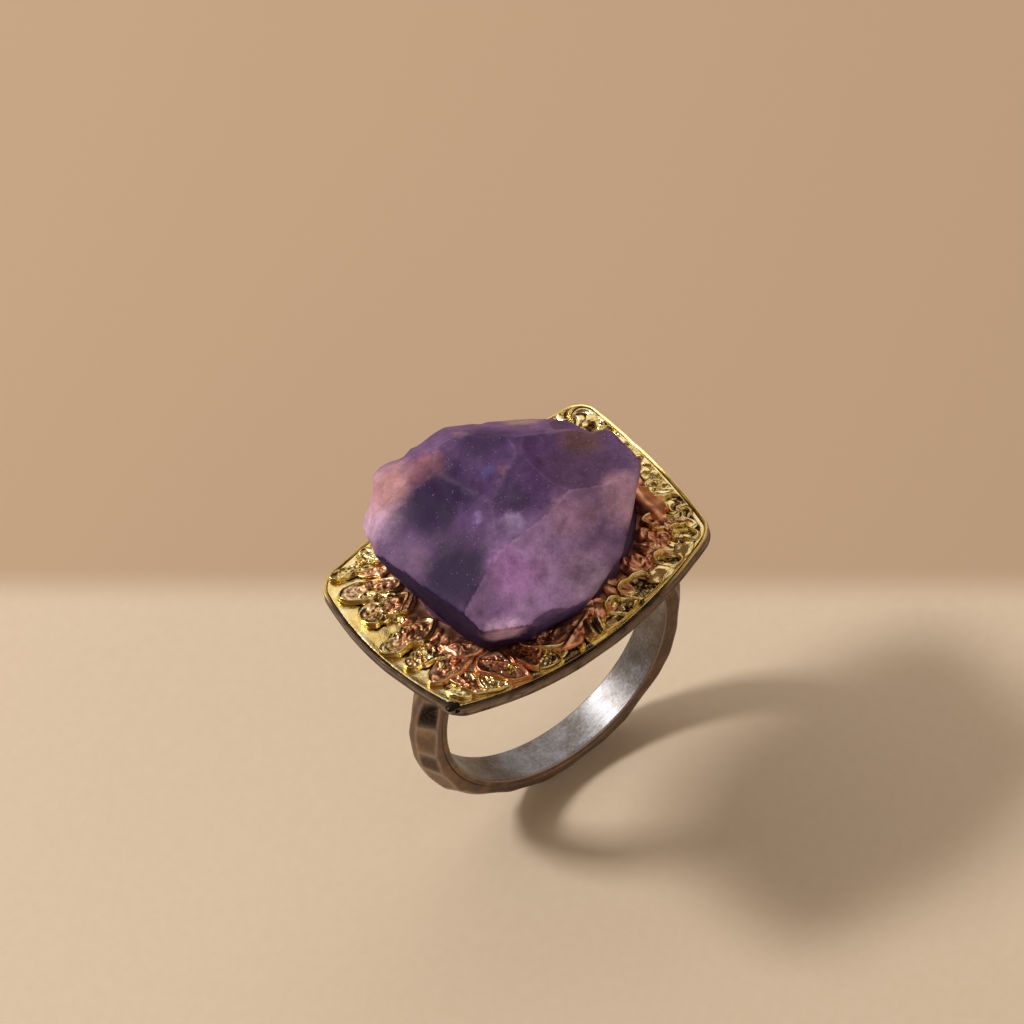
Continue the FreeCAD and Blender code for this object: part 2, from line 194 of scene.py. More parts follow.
patch = node(tree, "TexNoise", ("Vector", place), ("Scale", 0.35), ("Detail", 5), ("Roughness", 0.6))
patchy = node(tree, "Mix", (0, 0.35), (2, patch), (3, fleck))
stain = node(tree, "MapRange", ("Value", patchy), (1, 0.42), (2, 0.58))
polish = node(tree, "Mix", (0, stain), (6, "#6e655e"), (7, POLISHED_SILVER), data_type="RGBA")
finish = node(tree, "Mix", (0, inside), (6, outside), (7, polish), data_type="RGBA")
dull = node(tree, "MapRange", ("Value", rubbed), (3, 0.5), (4, 0.3))
satin = node(tree, "MapRange", ("Value", fleck), (1, 0.3), (2, 0.7), (3, 0.4), (4, 0.5))
sheen = node(tree, "Mix", (0, inside), (2, dull), (3, satin))
# polishing scratches of 0.02 mm run round the finger, drawn about 0.1 mm apart across the band
lengthways = node(tree, "VectorMath", (0, place), (1, (1, 9, 1)), operation="MULTIPLY")
scratch = node(tree, "TexNoise", ("Vector", lengthways), ("Scale", 1.2), ("Detail", 3))
relief = node(tree, "Mix", (0, inside), (2, fleck), (3, scratch))
bump = node(tree, "Bump", ("Height", relief), ("Strength", 0.35), ("Distance", 0.05 * MM))
feed(shader, ("Base Color", finish), ("Metallic", 1), ("Roughness", sheen), ("Normal", bump))


def on_wire(turn, lean):
    """Outward directions from the middle of the wire, at a turn round the ring and a lean."""
    turn, lean = np.broadcast_arrays(turn, lean)
    out = np.cos(lean)
    return np.stack([out * np.sin(turn), -np.sin(lean), out * np.cos(turn)], -1)


def wire_middle(turn):
    """The middle line of the half-round wire, round the ring from the top towards +X."""
    return np.stack([np.sin(turn), np.zeros_like(turn), np.cos(turn)], -1) * WIRE_MIDDLE


# the back: the nearest of the round wire and the flats left by the blows, two rows of them
band_random = np.random.default_rng(7)
BAND_TURNS, BACK_STEPS = 960, 52
turns = np.linspace(0, math.tau, BAND_TURNS, endpoint=False)[:, None]
leans = np.radians(np.linspace(-90, 90, BACK_STEPS))[None, :]
facing = on_wire(turns, leans)
middles = wire_middle(turns)
round_back = BAND_BACK + SHOULDER_SWELL * np.sin(2 * leans) ** 2 + CROWN_SWELL * np.cos(leans) ** 2
reaches, tones = [np.broadcast_to(round_back, facing.shape[:2])], [PLAIN_TONE]
for side in (1, -1):
    for number in range(HAMMER_BLOWS):
        blow_turn = math.tau * (number + 0.25 * side + band_random.uniform(-0.24, 0.24)) / HAMMER_BLOWS
        blow_lean = side * math.radians(BLOW_LEAN + band_random.uniform(-12, 10))
        depth = BLOW_DEPTH + band_random.uniform(-0.07, 0.07)
        normal = on_wire(blow_turn, blow_lean)
        struck = wire_middle(np.array(blow_turn)) + normal * (BAND_BACK + SHOULDER_SWELL - depth)
        slope = np.maximum(facing @ normal, 0.05)
        reach = ((struck - middles) @ normal) / slope
        away = np.linalg.norm(middles + facing * reach[..., None] - struck, axis=-1)
        reach = reach - BLOW_HOLLOW * np.exp(-(away / BLOW_SPREAD) ** 2 / 2)
        near = np.cos(turns - blow_turn) > FACING_BLOW
        reaches.append(np.where(near & (slope > 0.2), reach, OUT_OF_REACH))
        tone = band_random.uniform(0.1, 1.35) ** 1.6
        tones.append(DARKEST_TONE if side > 0 and number == DARKEST_BLOW else tone)
reaches = np.array(reaches)
shares = np.exp(-(reaches - reaches.min(0)) / RIDGE_SOFTNESS)
back_reach = reaches.min(0) - RIDGE_SOFTNESS * np.log(shares.sum(0))
back_tone = (shares * np.array(tones)[:, None, None]).sum(0) / shares.sum(0)
nearest = np.partition(reaches, 1, axis=0)
back_wear = np.exp(-(nearest[1] - nearest[0]) / RIDGE_WEAR)
back = middles + facing * back_reach[..., None]

# the side faces, the rounded brims and the inside, as one section that is the same all round
brim_turn = np.radians(np.linspace(0, 90, 6))
side_out = np.linspace(WIRE_MIDDLE - 0.06, BORE_RADIUS + BRIM + 0.03, 5)
side_in = BORE_RADIUS + BRIM - BRIM * np.sin(brim_turn)
side_half = BAND_HALF_WIDTH - BRIM + BRIM * np.cos(brim_turn)
half_section = [(radius, BAND_HALF_WIDTH) for radius in side_out]
half_section += list(zip(side_in, side_half))
inner = np.linspace(BAND_HALF_WIDTH - BRIM, -BAND_HALF_WIDTH + BRIM, 12)[1:-1]
section = [(radius, -half) for radius, half in half_section]
section += [(BORE_RADIUS, -half) for half in inner]
section += [(radius, half) for radius, half in reversed(half_section)]
section = np.array(section)
outward = on_wire(turns, 0)
low_part = outward * section[None, :, :1] + np.array([0, 1.0, 0]) * section[None, :, 1:]
band_points = np.concatenate([low_part, np.flip(back, axis=1)], axis=1)
# the top of the hoop is filed to the underside of the tray
band_points[..., 2] = np.minimum(band_points[..., 2], dish(band_points[..., 0], UNDERSIDE))
on_inside = (section[:, 0] < BORE_RADIUS + 0.02).astype(float)
on_brim = np.exp(-((section[:, 0] - BORE_RADIUS - 0.05) / 0.05) ** 2)
columns = band_points.shape[1]
spread = np.ones((BAND_TURNS, 1))
band = piece_from(
    "hammered_silver_band", band_points, loop_faces(BAND_TURNS, columns, True), oxidised_silver,
    wear=np.concatenate([spread * on_brim, np.flip(back_wear, axis=1)], axis=1),
    tone=np.concatenate([spread * 0.3 * np.ones(len(section)), np.flip(back_tone, axis=1)], axis=1),
    inside=np.concatenate([spread * on_inside, np.zeros((BAND_TURNS, BACK_STEPS))], axis=1))
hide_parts("hammered_band")


# ---- The two solder fillets ----
# Easy silver solder has run into the wedge between the back of the band and the tray's
# underside on each side, and set with a hollow face.

SOLDER_GREY = "#8b8681"
FILLET_INNER, FILLET_OUTER = 3.3, 4.95
FILLET_HALF_WIDTH = 0.8
FILLET_HOLLOW = 0.13
FILLET_RINGS = 25
FACE_STEPS, UNDER_STEPS = 10, 4

# Silver solder as it cooled: a touch yellower and duller than the sterling, with a fine skin.
silver_solder, tree, shader, place = blank_material("silver_solder_flowed")
skin = node(tree, "TexNoise", ("Vector", place), ("Scale", 4), ("Detail", 5))
colour = node(tree, "Mix", (0, skin), (6, LIVER_BROWN), (7, SOLDER_GREY), data_type="RGBA")
rough = node(tree, "MapRange", ("Value", skin), (3, 0.3), (4, 0.5))
bump = node(tree, "Bump", ("Height", skin), ("Strength", 0.4), ("Distance", 0.04 * MM))
feed(shader, ("Base Color", colour), ("Metallic", 1), ("Roughness", rough), ("Normal", bump))

# each ring of a fillet runs out along the hollow face and back along the underside of the tray
for side, sign in (("left", -1), ("right", 1)):
    points = []
    for across in np.linspace(-1, 1, FILLET_RINGS):
        swell = max(1 - across ** 4, 0.0) ** 0.5
        y = across * FILLET_HALF_WIDTH
        outer = FILLET_INNER + (FILLET_OUTER - FILLET_INNER) * (0.25 + 0.75 * swell)
        foot = FILLET_INNER + (outer - FILLET_INNER) * 0.66
        wire = WIRE_MIDDLE + math.sqrt(BAND_BACK ** 2 - y ** 2) - 0.25
        foot_z = math.sqrt(wire ** 2 - foot ** 2)
        top_z = dish(outer, UNDERSIDE)
        for share in np.linspace(0, 1, FACE_STEPS):
            hollow = FILLET_HOLLOW * math.sin(math.pi * share) * swell
            x = foot + (outer - foot) * share - hollow
            points.append((sign * x, y, foot_z + (top_z - foot_z) * share + hollow))
        for share in np.linspace(1, 0, UNDER_STEPS):
            x = FILLET_INNER + (outer - FILLET_INNER) * share
            points.append((sign * x, y, dish(x, UNDERSIDE) - 0.04 * (1 - share)))
    faces = loop_faces(FILLET_RINGS, FACE_STEPS + UNDER_STEPS, False)
    if sign < 0:
        faces = [face[::-1] for face in faces]
    fillet = piece_from(f"solder_run_{side}", points, faces, silver_solder)
    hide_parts(f"solder_fillet_{side}")


# ---- The base plate and the rim strip ----
# A dished sheet of silver carries the setting. A strip of the same sheet stands round its edge,
# bent by hand to a cushion outline and closed with a soldered seam at the front left corner.

rim_low, rim_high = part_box("rim_strip")
HALF_LENGTH, HALF_DEPTH = 10.5, 7.0
RIM_WALL = 0.28
BOWS = {"right": rim_high.x / MM - HALF_LENGTH, "left": -rim_low.x / MM - HALF_LENGTH,
        "back": rim_high.y / MM - HALF_DEPTH, "front": -rim_low.y / MM - HALF_DEPTH}
CORNERS = {("right", "front"): 0.8, ("right", "back"): 1.1, ("left", "back"): 1.0,
           ("left", "front"): 0.5}
LEFT_SKEW = 1.0
RIM_TOP = 46.5
RAYS = 1440
SEARCH_FROM, SEARCH_TO, SEARCH_STEPS = 1.0, 16.0, 30


def grain(points, pitch, seed):
    """Smooth random relief from -1 to 1, with a hill or a hollow about every pitch millimetres."""
    place = points / pitch + 31.7 * seed
    cell = np.floor(place).astype(np.int64)
    part = place - cell
    part = part * part * (3 - 2 * part)
    total = np.zeros(points.shape[:-1])
    for corner in np.ndindex(2, 2, 2):
        key = cell + corner
        mixed = key[..., 0] * 73856093 ^ key[..., 1] * 19349663 ^ key[..., 2] * 83492791
        mixed = (mixed ^ mixed >> 13) * 1274126177 & 0xFFFFFFFF
        mixed = (mixed ^ mixed >> 15) * 668265263 & 0xFFFFFFFF
        value = (mixed ^ mixed >> 16) / 2147483648 - 1
        total += np.prod(np.where(corner, part, 1 - part), axis=-1) * value
    return total


def ease(value, low, high):
    """0 below low, 1 above high and a soft step between them."""
    share = np.clip((value - low) / (high - low), 0, 1)
    return share * share * (3 - 2 * share)


def side_gap(points, side):
    """How far points lie outside one bowed side of the tray; negative inside it."""
    half, chord = HALF_LENGTH, HALF_DEPTH
    if side in ("back", "front"):
        half, chord = chord, half
    bow = BOWS[side]
    radius = (chord ** 2 + bow ** 2) / (2 * bow)
    outward = {"right": (1, 0), "left": (-1, 0), "back": (0, 1), "front": (0, -1)}[side]
    middle = np.array(outward) * (half + bow - radius)
    if side == "left":
        middle = middle + (0, LEFT_SKEW)
    return np.linalg.norm(points - middle, axis=-1) - radius


def outline_gap(points):
    """How far points lie outside the tray's rounded outline; negative inside it."""
    gaps = {side: side_gap(points, side) for side in BOWS}
    along = np.maximum(gaps["left"], gaps["right"])
    across = np.maximum(gaps["front"], gaps["back"])
    radius = np.zeros(points.shape[:-1])
    for (end, face), corner in CORNERS.items():
        here = ((points[..., 0] > 0) == (end == "right")) & ((points[..., 1] > 0) == (face == "back"))
        radius = np.where(here, corner, radius)
    outer = np.hypot(np.maximum(along + radius, 0), np.maximum(across + radius, 0))
    return np.minimum(np.maximum(along, across), -radius) + outer


def outline_reach(angles, inset):
    """How far the tray's outline, drawn in by the inset, lies from the middle along each ray."""
    rays = np.stack([np.cos(angles), np.sin(angles)], -1)
    near, far = np.full(angles.shape, SEARCH_FROM), np.full(angles.shape, SEARCH_TO)
    for _ in range(SEARCH_STEPS):
        middle = (near + far) / 2
        out = outline_gap(rays * middle[..., None]) > -inset
        near, far = np.where(out, near, middle), np.where(out, middle, far)
    return near


# Oxidised silver sheet, brushed along its length: a brown-grey wall with fine scratches and a
# black top, where the sulphur has not been rubbed off.
rim_silver, tree, shader, place = blank_material("oxidised_sterling_sheet_brushed")
# at the right and the back the gilding was rubbed on over the strip's top
black, gilt = [node(tree, "Attribute", attribute_name=name).outputs["Fac"]
               for name in ("black", "gilt")]
cloud = node(tree, "TexNoise", ("Vector", place), ("Scale", 0.9), ("Detail", 7), ("Roughness", 0.65))
flat = node(tree, "VectorMath", (0, place), (1, (1, 1, 9)), operation="MULTIPLY")
brushed = node(tree, "TexNoise", ("Vector", flat), ("Scale", 1.3), ("Detail", 5), ("Roughness", 0.7))
bare = node(tree, "MapRange", ("Value", brushed), (1, 0.35), (2, 0.68))
stained = node(tree, "MapRange", ("Value", cloud), (1, 0.52), (2, 0.68), (4, 0.75))
colour = node(tree, "Mix", (0, bare), (6, "#66554a"), (7, "#a8937f"), data_type="RGBA")
for share, tint in ((stained, "#3d322b"), (black, "#28221e"), (gilt, "#e0c37c")):
    colour = node(tree, "Mix", (0, share), (6, colour), (7, tint), data_type="RGBA")
rough = node(tree, "MapRange", ("Value", cloud), (1, 0.3), (2, 0.7), (3, 0.32), (4, 0.5))
bump = node(tree, "Bump", ("Height", brushed), ("Strength", 0.5), ("Distance", 0.05 * MM))
feed(shader, ("Base Color", colour), ("Metallic", 1), ("Roughness", rough), ("Normal", bump))

base_plate = frame["nodes"]["base_plate"]
base_plate.data.materials.clear()
base_plate.data.materials.append(rim_silver)

# the strip's section: how far in from the outline, how far up the strip, and how black
RIM_SECTION = (
    (0.28, 0.0, 0.6), (0.10, 0.0, 0.6), (0.02, 0.03, 0.5), (-0.02, 0.10, 0.35), (-0.01, 0.17, 0.15),
    (0.02, 0.22, 0.4), (0.02, 0.35, 0.0), (0.01, 0.55, 0.1), (0.0, 0.75, 0.3), (0.0, 0.87, 0.45),
    (0.02, 0.95, 0.6), (0.06, 0.995, 0.8), (0.12, 1.0, 0.9), (0.18, 0.99, 0.5), (0.24, 0.96, 0.2),
    (0.28, 0.88, 0.2), (0.28, 0.5, 0.5))
rays = np.linspace(0, math.tau, RAYS, endpoint=False)
rim_points, rim_black, rim_gilt = [], [], []
outline = np.stack([np.cos(rays), np.sin(rays), 0 * rays], -1) * outline_reach(rays, 0)[:, None]
sway = 0.035 * grain(outline, 2.6, 3) + 0.02 * grain(outline, 0.9, 4)
lift = 0.05 * grain(outline, 3.4, 5) + 0.02 * grain(outline, 1.1, 6)
thick = 0.05 * grain(outline, 2.0, 8)
for inset, up, blackness in RIM_SECTION:
    inset_here = inset + np.maximum(sway, -0.02) + thick * (inset / RIM_WALL)
    reach = outline_reach(rays, 0) - inset_here
    x, y = reach * np.cos(rays), reach * np.sin(rays)
    foot = dish(x, UNDERSIDE)
    z = foot + (dish(x, RIM_TOP) + lift - foot) * up
    rim_points.append(np.stack([x, y, z], -1))
    gilded_here = np.maximum(ease(x, 5.0, 8.0), ease(y, 4.5, 6.5)) * (up > 0.9 or inset > 0.2)
    rim_gilt.append(gilded_here * (1 - 0.3 * (blackness > 0.85)))
    rim_black.append(np.full(RAYS, blackness))
rim = piece_from("rim_strip_brushed", rim_points,
                 [face[::-1] for face in loop_faces(len(RIM_SECTION), RAYS, True)], rim_silver,
                 black=rim_black, gilt=rim_gilt)
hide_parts("rim_strip")


def points_and_faces(solid):
    """Points and faces of a ready-made solid, which is then let go."""
    points = np.array([point.co for point in solid.verts])
    faces = [tuple(corner.index for corner in face.verts) for face in solid.faces]
    solid.free()
    return points, faces


# the seam: a lump of solder left black in the corner, and a drip of it down the front wall
SEAM_LUMPS = ((-10.28, -6.72, 0.0, 0.36, 0.30, 0.16), (-9.95, -7.02, -0.33, 0.26, 0.10, 0.16),
              (-10.05, -6.78, 0.0, 0.40, 0.22, 0.12), (-10.12, -6.55, -0.02, 0.24, 0.30, 0.10))
lump_points, lump_faces = [], []
ball = bmesh.new()
bmesh.ops.create_icosphere(ball, subdivisions=4, radius=1)
ball, ball_faces = points_and_faces(ball)
for number, (x, y, up, length, depth, height) in enumerate(SEAM_LUMPS):
    rugged = 1 + 0.25 * grain(ball, 0.7, 20 + number)
    lump = ball * rugged[:, None] * (length, depth, height)
    start = len(ball) * number
    lump_points.append(lump + (x, y, dish(x, RIM_TOP) + up))
    lump_faces += [tuple(corner + start for corner in face) for face in ball_faces]
lump_points = np.concatenate(lump_points)
seam = piece_from("rim_seam_lump", lump_points, lump_faces, rim_silver,
                  black=np.ones(len(lump_points)))
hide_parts("rim_seam_solder")


# ---- The gold plate ----
# A thin gilded sheet lies on the base plate inside the rim. It is left flat along the rim and
# swells into a coppery mound towards the stone; blackening and painted shade collect round the
# foot of each scrap.

bed_low, bed_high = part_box("cement_bed")
BED_X, BED_Y = (bed_low.x + bed_high.x) / 2 / MM, (bed_low.y + bed_high.y) / 2 / MM
BED_HALF_LENGTH, BED_HALF_WIDTH = (bed_high.x - bed_low.x) / 2 / MM, (bed_high.y - bed_low.y) / 2 / MM
BED_TOP = bed_high.z / MM
BASE_TOP, GOLD_TOP = 46.9, 46.6
MOUND, RIPPLE, FINE_RIPPLE, PILLOW, ROLLED_EDGE = 0.7, 0.12, 0.07, 0.03, 0.03
PLATE_RINGS, HIDDEN_RINGS, UNDER_RINGS = 58, 8, 10
inner_reach = outline_reach(rays, RIM_WALL)


def bed_reach(angles):
    """How far the edge of the cement bed lies from the middle of the tray along each ray."""
    x, y = np.cos(angles) / BED_HALF_LENGTH, np.sin(angles) / BED_HALF_WIDTH
    shift_x, shift_y = BED_X / BED_HALF_LENGTH, BED_Y / BED_HALF_WIDTH
    square, half = x * x + y * y, x * shift_x + y * shift_y
    return (half + np.sqrt(half ** 2 - square * (shift_x ** 2 + shift_y ** 2 - 1))) / square


def outness(points):
    """0 at the edge of the bed and 1 at the rim, along the ray through each point."""
    angles = np.arctan2(points[..., 1], points[..., 0]) % math.tau
    rim = np.interp(angles, np.append(rays, math.tau), np.append(inner_reach, inner_reach[0]))
    bed = bed_reach(angles)
    return (np.hypot(points[..., 0], points[..., 1]) - bed) / (rim - bed)


def plate_level(points):
    """Height of the gold plate's upper face: flat by the rim, mounded by the stone."""
    out = outness(points)
    flat = np.stack([points[..., 0], points[..., 1], 0 * out], -1)
    mound = MOUND * (1 - ease(out, -0.15, 1.08))
    ripple = RIPPLE * grain(flat, 1.2, 11) + FINE_RIPPLE * grain(flat, 0.5, 12)
    ripple = ripple * (1 - ease(out, 0.3, 0.8))
    pillow = PILLOW * grain(flat, 2.6, 13) * ease(out, 0.5, 0.8)
    roll = ROLLED_EDGE * ease(out, 0.9, 0.98)
    return dish(points[..., 0], GOLD_TOP) + np.where(out > -0.3, mound + ripple + pillow + roll, 0)


# the scraps on each side of the tray: middle x and y in mm, heading in degrees, length and width
# in mm, how it is shaped, and how coppery its edge and its inside are, from 0 to 1
PLACED = {
    "left": (
        (-8.4, 6.4, -19, 4.0, 1.5, "cell", 0.0, 0.5),
        (-8.4, 4.2, -21, 4.4, 1.9, "cell", 0.1, 0.75),
        (-8.0, 3.1, -37, 1.3, 0.7, "leaf", 0.0, 0.0),
        (-9.2, 2.4, 0, 3.5, 2.0, "cell", 0.1, 0.7),
        (-7.7, 1.9, 15, 2.1, 1.5, "cell", 0.3, 0.8),
        (-8.5, 0.8, -80, 1.2, 0.8, "leaf", 0.0, 0.1),
        (-9.2, -0.5, -3, 4.2, 1.9, "cell", 0.1, 0.65),
        (-9.3, -2.4, 5, 2.9, 1.6, "pitted", 0.3, 0.6),
        (-8.3, -4.1, 14, 3.7, 1.8, "cell", 0.65, 0.9),
        (-7.0, -3.4, -40, 2.2, 1.5, "leaf", 0.9, 1.0),
        (-7.2, 5.2, -25, 2.2, 1.4, "leaf", 0.6, 0.9),
    ),
    "front": (
        (-8.2, -5.8, -76, 2.9, 1.5, "cell", 0.55, 0.85),
        (-9.1, -5.9, -69, 1.7, 1.0, "lump", 0.1, 0.2),
        (-7.1, -6.9, -95, 2.3, 1.7, "pitted", 0.0, 0.2),
        (-5.9, -6.0, -62, 3.5, 1.8, "cell", 0.85, 1.0),
        (-4.0, -6.4, -80, 2.3, 1.7, "cell", 0.8, 1.0),
        (-2.4, -6.3, -41, 2.6, 1.5, "pitted", 0.5, 0.8),
        (-3.1, -7.5, -100, 2.1, 1.5, "pitted", 0.0, 0.3),
        (-0.6, -6.6, 11, 3.0, 1.9, "leaf", 0.85, 1.0),
        (0.6, -7.3, -85, 2.4, 1.6, "fold", 0.0, 0.1),
        (1.6, -6.5, -30, 2.0, 1.4, "leaf", 0.8, 1.0),
        (2.8, -7.35, -30, 2.2, 1.4, "hollow", 0.0, 0.2),
        (3.4, -6.2, -40, 2.1, 1.4, "fold", 0.6, 1.0),
        (4.7, -7.2, -32, 2.5, 1.7, "hollow", 0.0, 0.3),
        (5.3, -5.9, -47, 2.8, 1.4, "crumple", 0.7, 1.0),
        (6.3, -7.3, -32, 1.9, 1.2, "lump", 0.0, 0.0),
        (1.7, -7.9, 5, 1.5, 0.8, "lump", 0.0, 0.0),
        (3.9, -7.95, 8, 1.4, 0.7, "lump", 0.0, 0.0),
    ),
    "right": (
        (7.2, -6.8, -43, 2.1, 1.3, "hollow", 0.0, 0.2),
        (8.3, -6.8, -43, 1.5, 1.2, "lump", 0.0, 0.0),
        (6.8, -5.6, -50, 2.6, 0.8, "leaf", 0.4, 0.8),
        (7.6, -5.4, -51, 3.0, 1.3, "crumple", 0.6, 0.9),
        (8.9, -5.8, -42, 2.0, 1.3, "hollow", 0.0, 0.2),
        (8.5, -4.6, -42, 3.4, 1.4, "cell", 0.3, 0.85),
        (9.7, -4.5, -30, 2.1, 1.3, "swirl", 0.0, 0.3),
        (9.3, -3.3, -30, 3.1, 1.3, "hollow", 0.0, 0.3),
        (8.3, -2.9, -38, 2.2, 0.8, "leaf", 0.0, 0.2),
        (10.0, -2.1, -40, 2.0, 1.3, "pitted", 0.0, 0.3),
        (10.1, -0.9, -45, 1.8, 1.2, "lump", 0.0, 0.0),
        (10.2, 0.2, -45, 1.8, 1.1, "lump", 0.0, 0.0),
        (10.1, 1.3, -40, 1.8, 1.1, "lump", 0.0, 0.0),
        (10.0, 2.4, -30, 1.9, 1.1, "lump", 0.0, 0.0),
        (9.9, 3.6, -30, 2.0, 1.1, "cell", 0.0, 0.2),
        (9.8, 4.9, -25, 1.9, 1.2, "lump", 0.0, 0.0),
        (9.1, 6.3, -21, 2.6, 1.8, "swirl", 0.0, 0.1),
        (9.0, 0.4, -20, 1.9, 1.5, "leaf", 0.7, 0.9),
        (8.8, 2.7, -10, 1.8, 1.6, "crumple", 0.6, 0.9),
        (8.6, 4.9, -10, 1.6, 1.3, "crumple", 0.5, 0.8),
    ),
}
SCRAPS = [(side, *scrap) for side, scraps in PLACED.items() for scrap in scraps]
# how far out the scraps reach on each side, and how wide the ring of gold is there, in mm
FLANGE_AT = {"left": 0.81, "front": 0.88, "right": 0.93, "back": 0.92}
FLANGE_REACH = 2.6
BACK_SCRAPS = 14
CRUMBS = 84
scrap_random = np.random.default_rng(21)
# the row behind the stone follows the bow of the rim, every other scrap a coppery one
for number in range(BACK_SCRAPS):
    x = -7.1 + 15.0 * number / (BACK_SCRAPS - 1) + scrap_random.uniform(-0.15, 0.15)
    y = 7.2 - 0.012 * x * x + scrap_random.uniform(-0.15, 0.15)
    shape = ("cell", "pitted", "leaf", "hollow", "lump")[number % 5]
    copper = 0.7 if number % 2 else 0.0
    SCRAPS.append(("back", x, y, 90 - 2.2 * x + scrap_random.uniform(-14, 14),
                   scrap_random.uniform(2.0, 2.6), scrap_random.uniform(1.2, 1.6), shape, copper,
                   copper + 0.25))


def side_of(x, y):
    """The side of the tray that a place belongs to."""
    if abs(x) / HALF_LENGTH > abs(y) / HALF_DEPTH:
        return "right" if x > 0 else "left"
    return "back" if y > 0 else "front"


# crumbs of melted sheet fill the gaps, thickest on the right
for number in range(CRUMBS):
    turn = scrap_random.uniform(0, math.tau)
    out = scrap_random.uniform(0.12, 0.84 if math.cos(turn) > -0.2 else 0.62)
    rim = float(np.interp(turn, rays, inner_reach))
    reach = float(bed_reach(np.array(turn)))
    reach += out * (rim - reach)
    x, y = reach * math.cos(turn), reach * math.sin(turn)
    copper = 1.0 if out < 0.45 else 0.15
    SCRAPS.append((side_of(x, y), x, y, math.degrees(turn) + scrap_random.uniform(-35, 35),
                   scrap_random.uniform(0.7, 1.5), scrap_random.uniform(0.45, 0.8),
                   ("leaf", "lump", "crumple")[number % 3], copper, copper))


def scrap_edge(number, around):
    """Half size of a scrap's outline in each direction: a torn oval, pointed on the leaves."""
    _, _, _, _, length, width, shape, _, _ = SCRAPS[number]
    power = {"leaf": 1.5, "fold": 1.7, "cell": 1.55, "lump": 2.2}.get(shape, 1.9)
    oval = ((np.abs(np.cos(around)) / (length / 2)) ** power
            + (np.abs(np.sin(around)) / (width / 2)) ** power) ** (-1 / power)
    circle = np.stack([np.cos(around), np.sin(around), 0 * around], -1)
    oval = oval * (1.15 if length > 1.5 else 1.0)
    return oval * (1 + 0.34 * grain(circle, 0.7, 40 + number) + 0.04 * grain(circle, 0.28, number))


def scrap_place(number, points):
    """Points of the tray as a scrap sees them: along it, across it."""
    _, x, y, heading, _, _, _, _, _ = SCRAPS[number]
    turn = math.radians(heading)
    away = points[..., :2] - (x, y)
    return (away[..., 0] * math.cos(turn) + away[..., 1] * math.sin(turn),
            -away[..., 0] * math.sin(turn) + away[..., 1] * math.cos(turn))


# Gilded and rose-gilded sheet, satin: pale yellow where it is burnished flat, coppery rose near
# the stone, brown-black in every pit and crevice, where the blackening was left and where painted
# shade darkens them.
gilded, tree, shader, place = blank_material("gilded_silver_sheet")
rose, soot = [node(tree, "Attribute", attribute_name=name).outputs["Fac"]
              for name in ("rose", "soot")]
cloud = node(tree, "TexNoise", ("Vector", place), ("Scale", 1.4), ("Detail", 6), ("Roughness", 0.6))
speck = node(tree, "TexNoise", ("Vector", place), ("Scale", 8), ("Detail", 4), ("Roughness", 0.6))
cloudy = node(tree, "MapRange", ("Value", cloud), (1, 0.3), (2, 0.7))
yellow = node(tree, "Mix", (0, cloudy), (6, "#deb64e"), (7, "#f6e9b8"), data_type="RGBA")
coppery = node(tree, "Mix", (0, cloudy), (6, "#c07049"), (7, "#efb78e"), data_type="RGBA")
worn = node(tree, "Math", (0, cloud), (1, 0.5), (2, rose), operation="MULTIPLY_ADD")
worn = node(tree, "MapRange", ("Value", worn), (1, 0.5), (2, 0.95))
metal = node(tree, "Mix", (0, worn), (6, yellow), (7, coppery), data_type="RGBA")
# the pits, and the soot and painted shade round the scraps, darken the metal to brown-black
pits_and_shade = node(tree, "Math", (0, speck), (1, 0.9), (2, soot), operation="MULTIPLY_ADD")
pits_and_shade = node(tree, "MapRange", ("Value", pits_and_shade), (1, 0.74), (2, 1.15))
metal = node(tree, "Mix", (0, pits_and_shade), (6, metal), (7, "#3a2614"), data_type="RGBA")
satin = node(tree, "MapRange", ("Value", worn), (3, 0.2), (4, 0.38))
rough = node(tree, "MapRange", ("Value", pits_and_shade), (3, satin), (4, 0.5))
bump = node(tree, "Bump", ("Height", speck), ("Strength", 0.25), ("Distance", 0.06 * MM))
feed(shader, ("Base Color", metal), ("Metallic", 1), ("Roughness", rough), ("Normal", bump))

# the plate's rings: a few under the cement bed, the rest from just inside its edge to the rim
hidden_shares = np.linspace(0.02, 0.86, HIDDEN_RINGS)
bed_edge = bed_reach(rays)
top_points = []
for ring in range(PLATE_RINGS):
    if ring < HIDDEN_RINGS:
        reach = bed_edge * hidden_shares[ring]
    else:
        out = (ring - HIDDEN_RINGS) / (PLATE_RINGS - 1 - HIDDEN_RINGS)
        reach = bed_edge * 0.9 + (inner_reach - bed_edge * 0.9) * out
    flat = np.stack([reach * np.cos(rays), reach * np.sin(rays)], -1)
    top_points.append(np.concatenate([flat, plate_level(flat)[:, None]], -1))
top_points = np.array(top_points)
# soot and painted shade lie round each scrap, soot in a line along the rim, and painted shade is
# thickest on the right, behind the stone
soot = np.zeros(top_points.shape[:2])
for number, (side, _, _, _, length, _, _, _, _) in enumerate(SCRAPS):
    along, across = scrap_place(number, top_points)
    near = np.hypot(along, across) < length
    along, across = along[near], across[near]
    beyond = np.hypot(along, across) - scrap_edge(number, np.arctan2(across, along))
    kept = 1 - ease(outness(top_points[near]), FLANGE_AT[side] - 0.06, FLANGE_AT[side] + 0.02)
    soot[near] = np.maximum(soot[near], 0.95 * kept * (1 - ease(beyond, 0.02, 0.24)))
out = outness(top_points)
soot = np.where(out > 0.96, np.maximum(soot, 0.9 * ease(out, 0.985, 1.0)), soot)
soot = np.where(out < 0.6, soot * 0.4, soot)
# painted shade on the right, in the lee of the stone
stone_lee_shade = ease(top_points[..., 0] + 0.5 * top_points[..., 1], 3.0, 6.5) * ease(out, 0.45, 0.62)
soot = np.maximum(soot, 0.78 * stone_lee_shade * (1 - ease(out, 0.92, 0.97)))
plate_rose = 1.05 - ease(out, 0.2, 0.66) + 0.25 * grain(top_points, 1.5, 30)
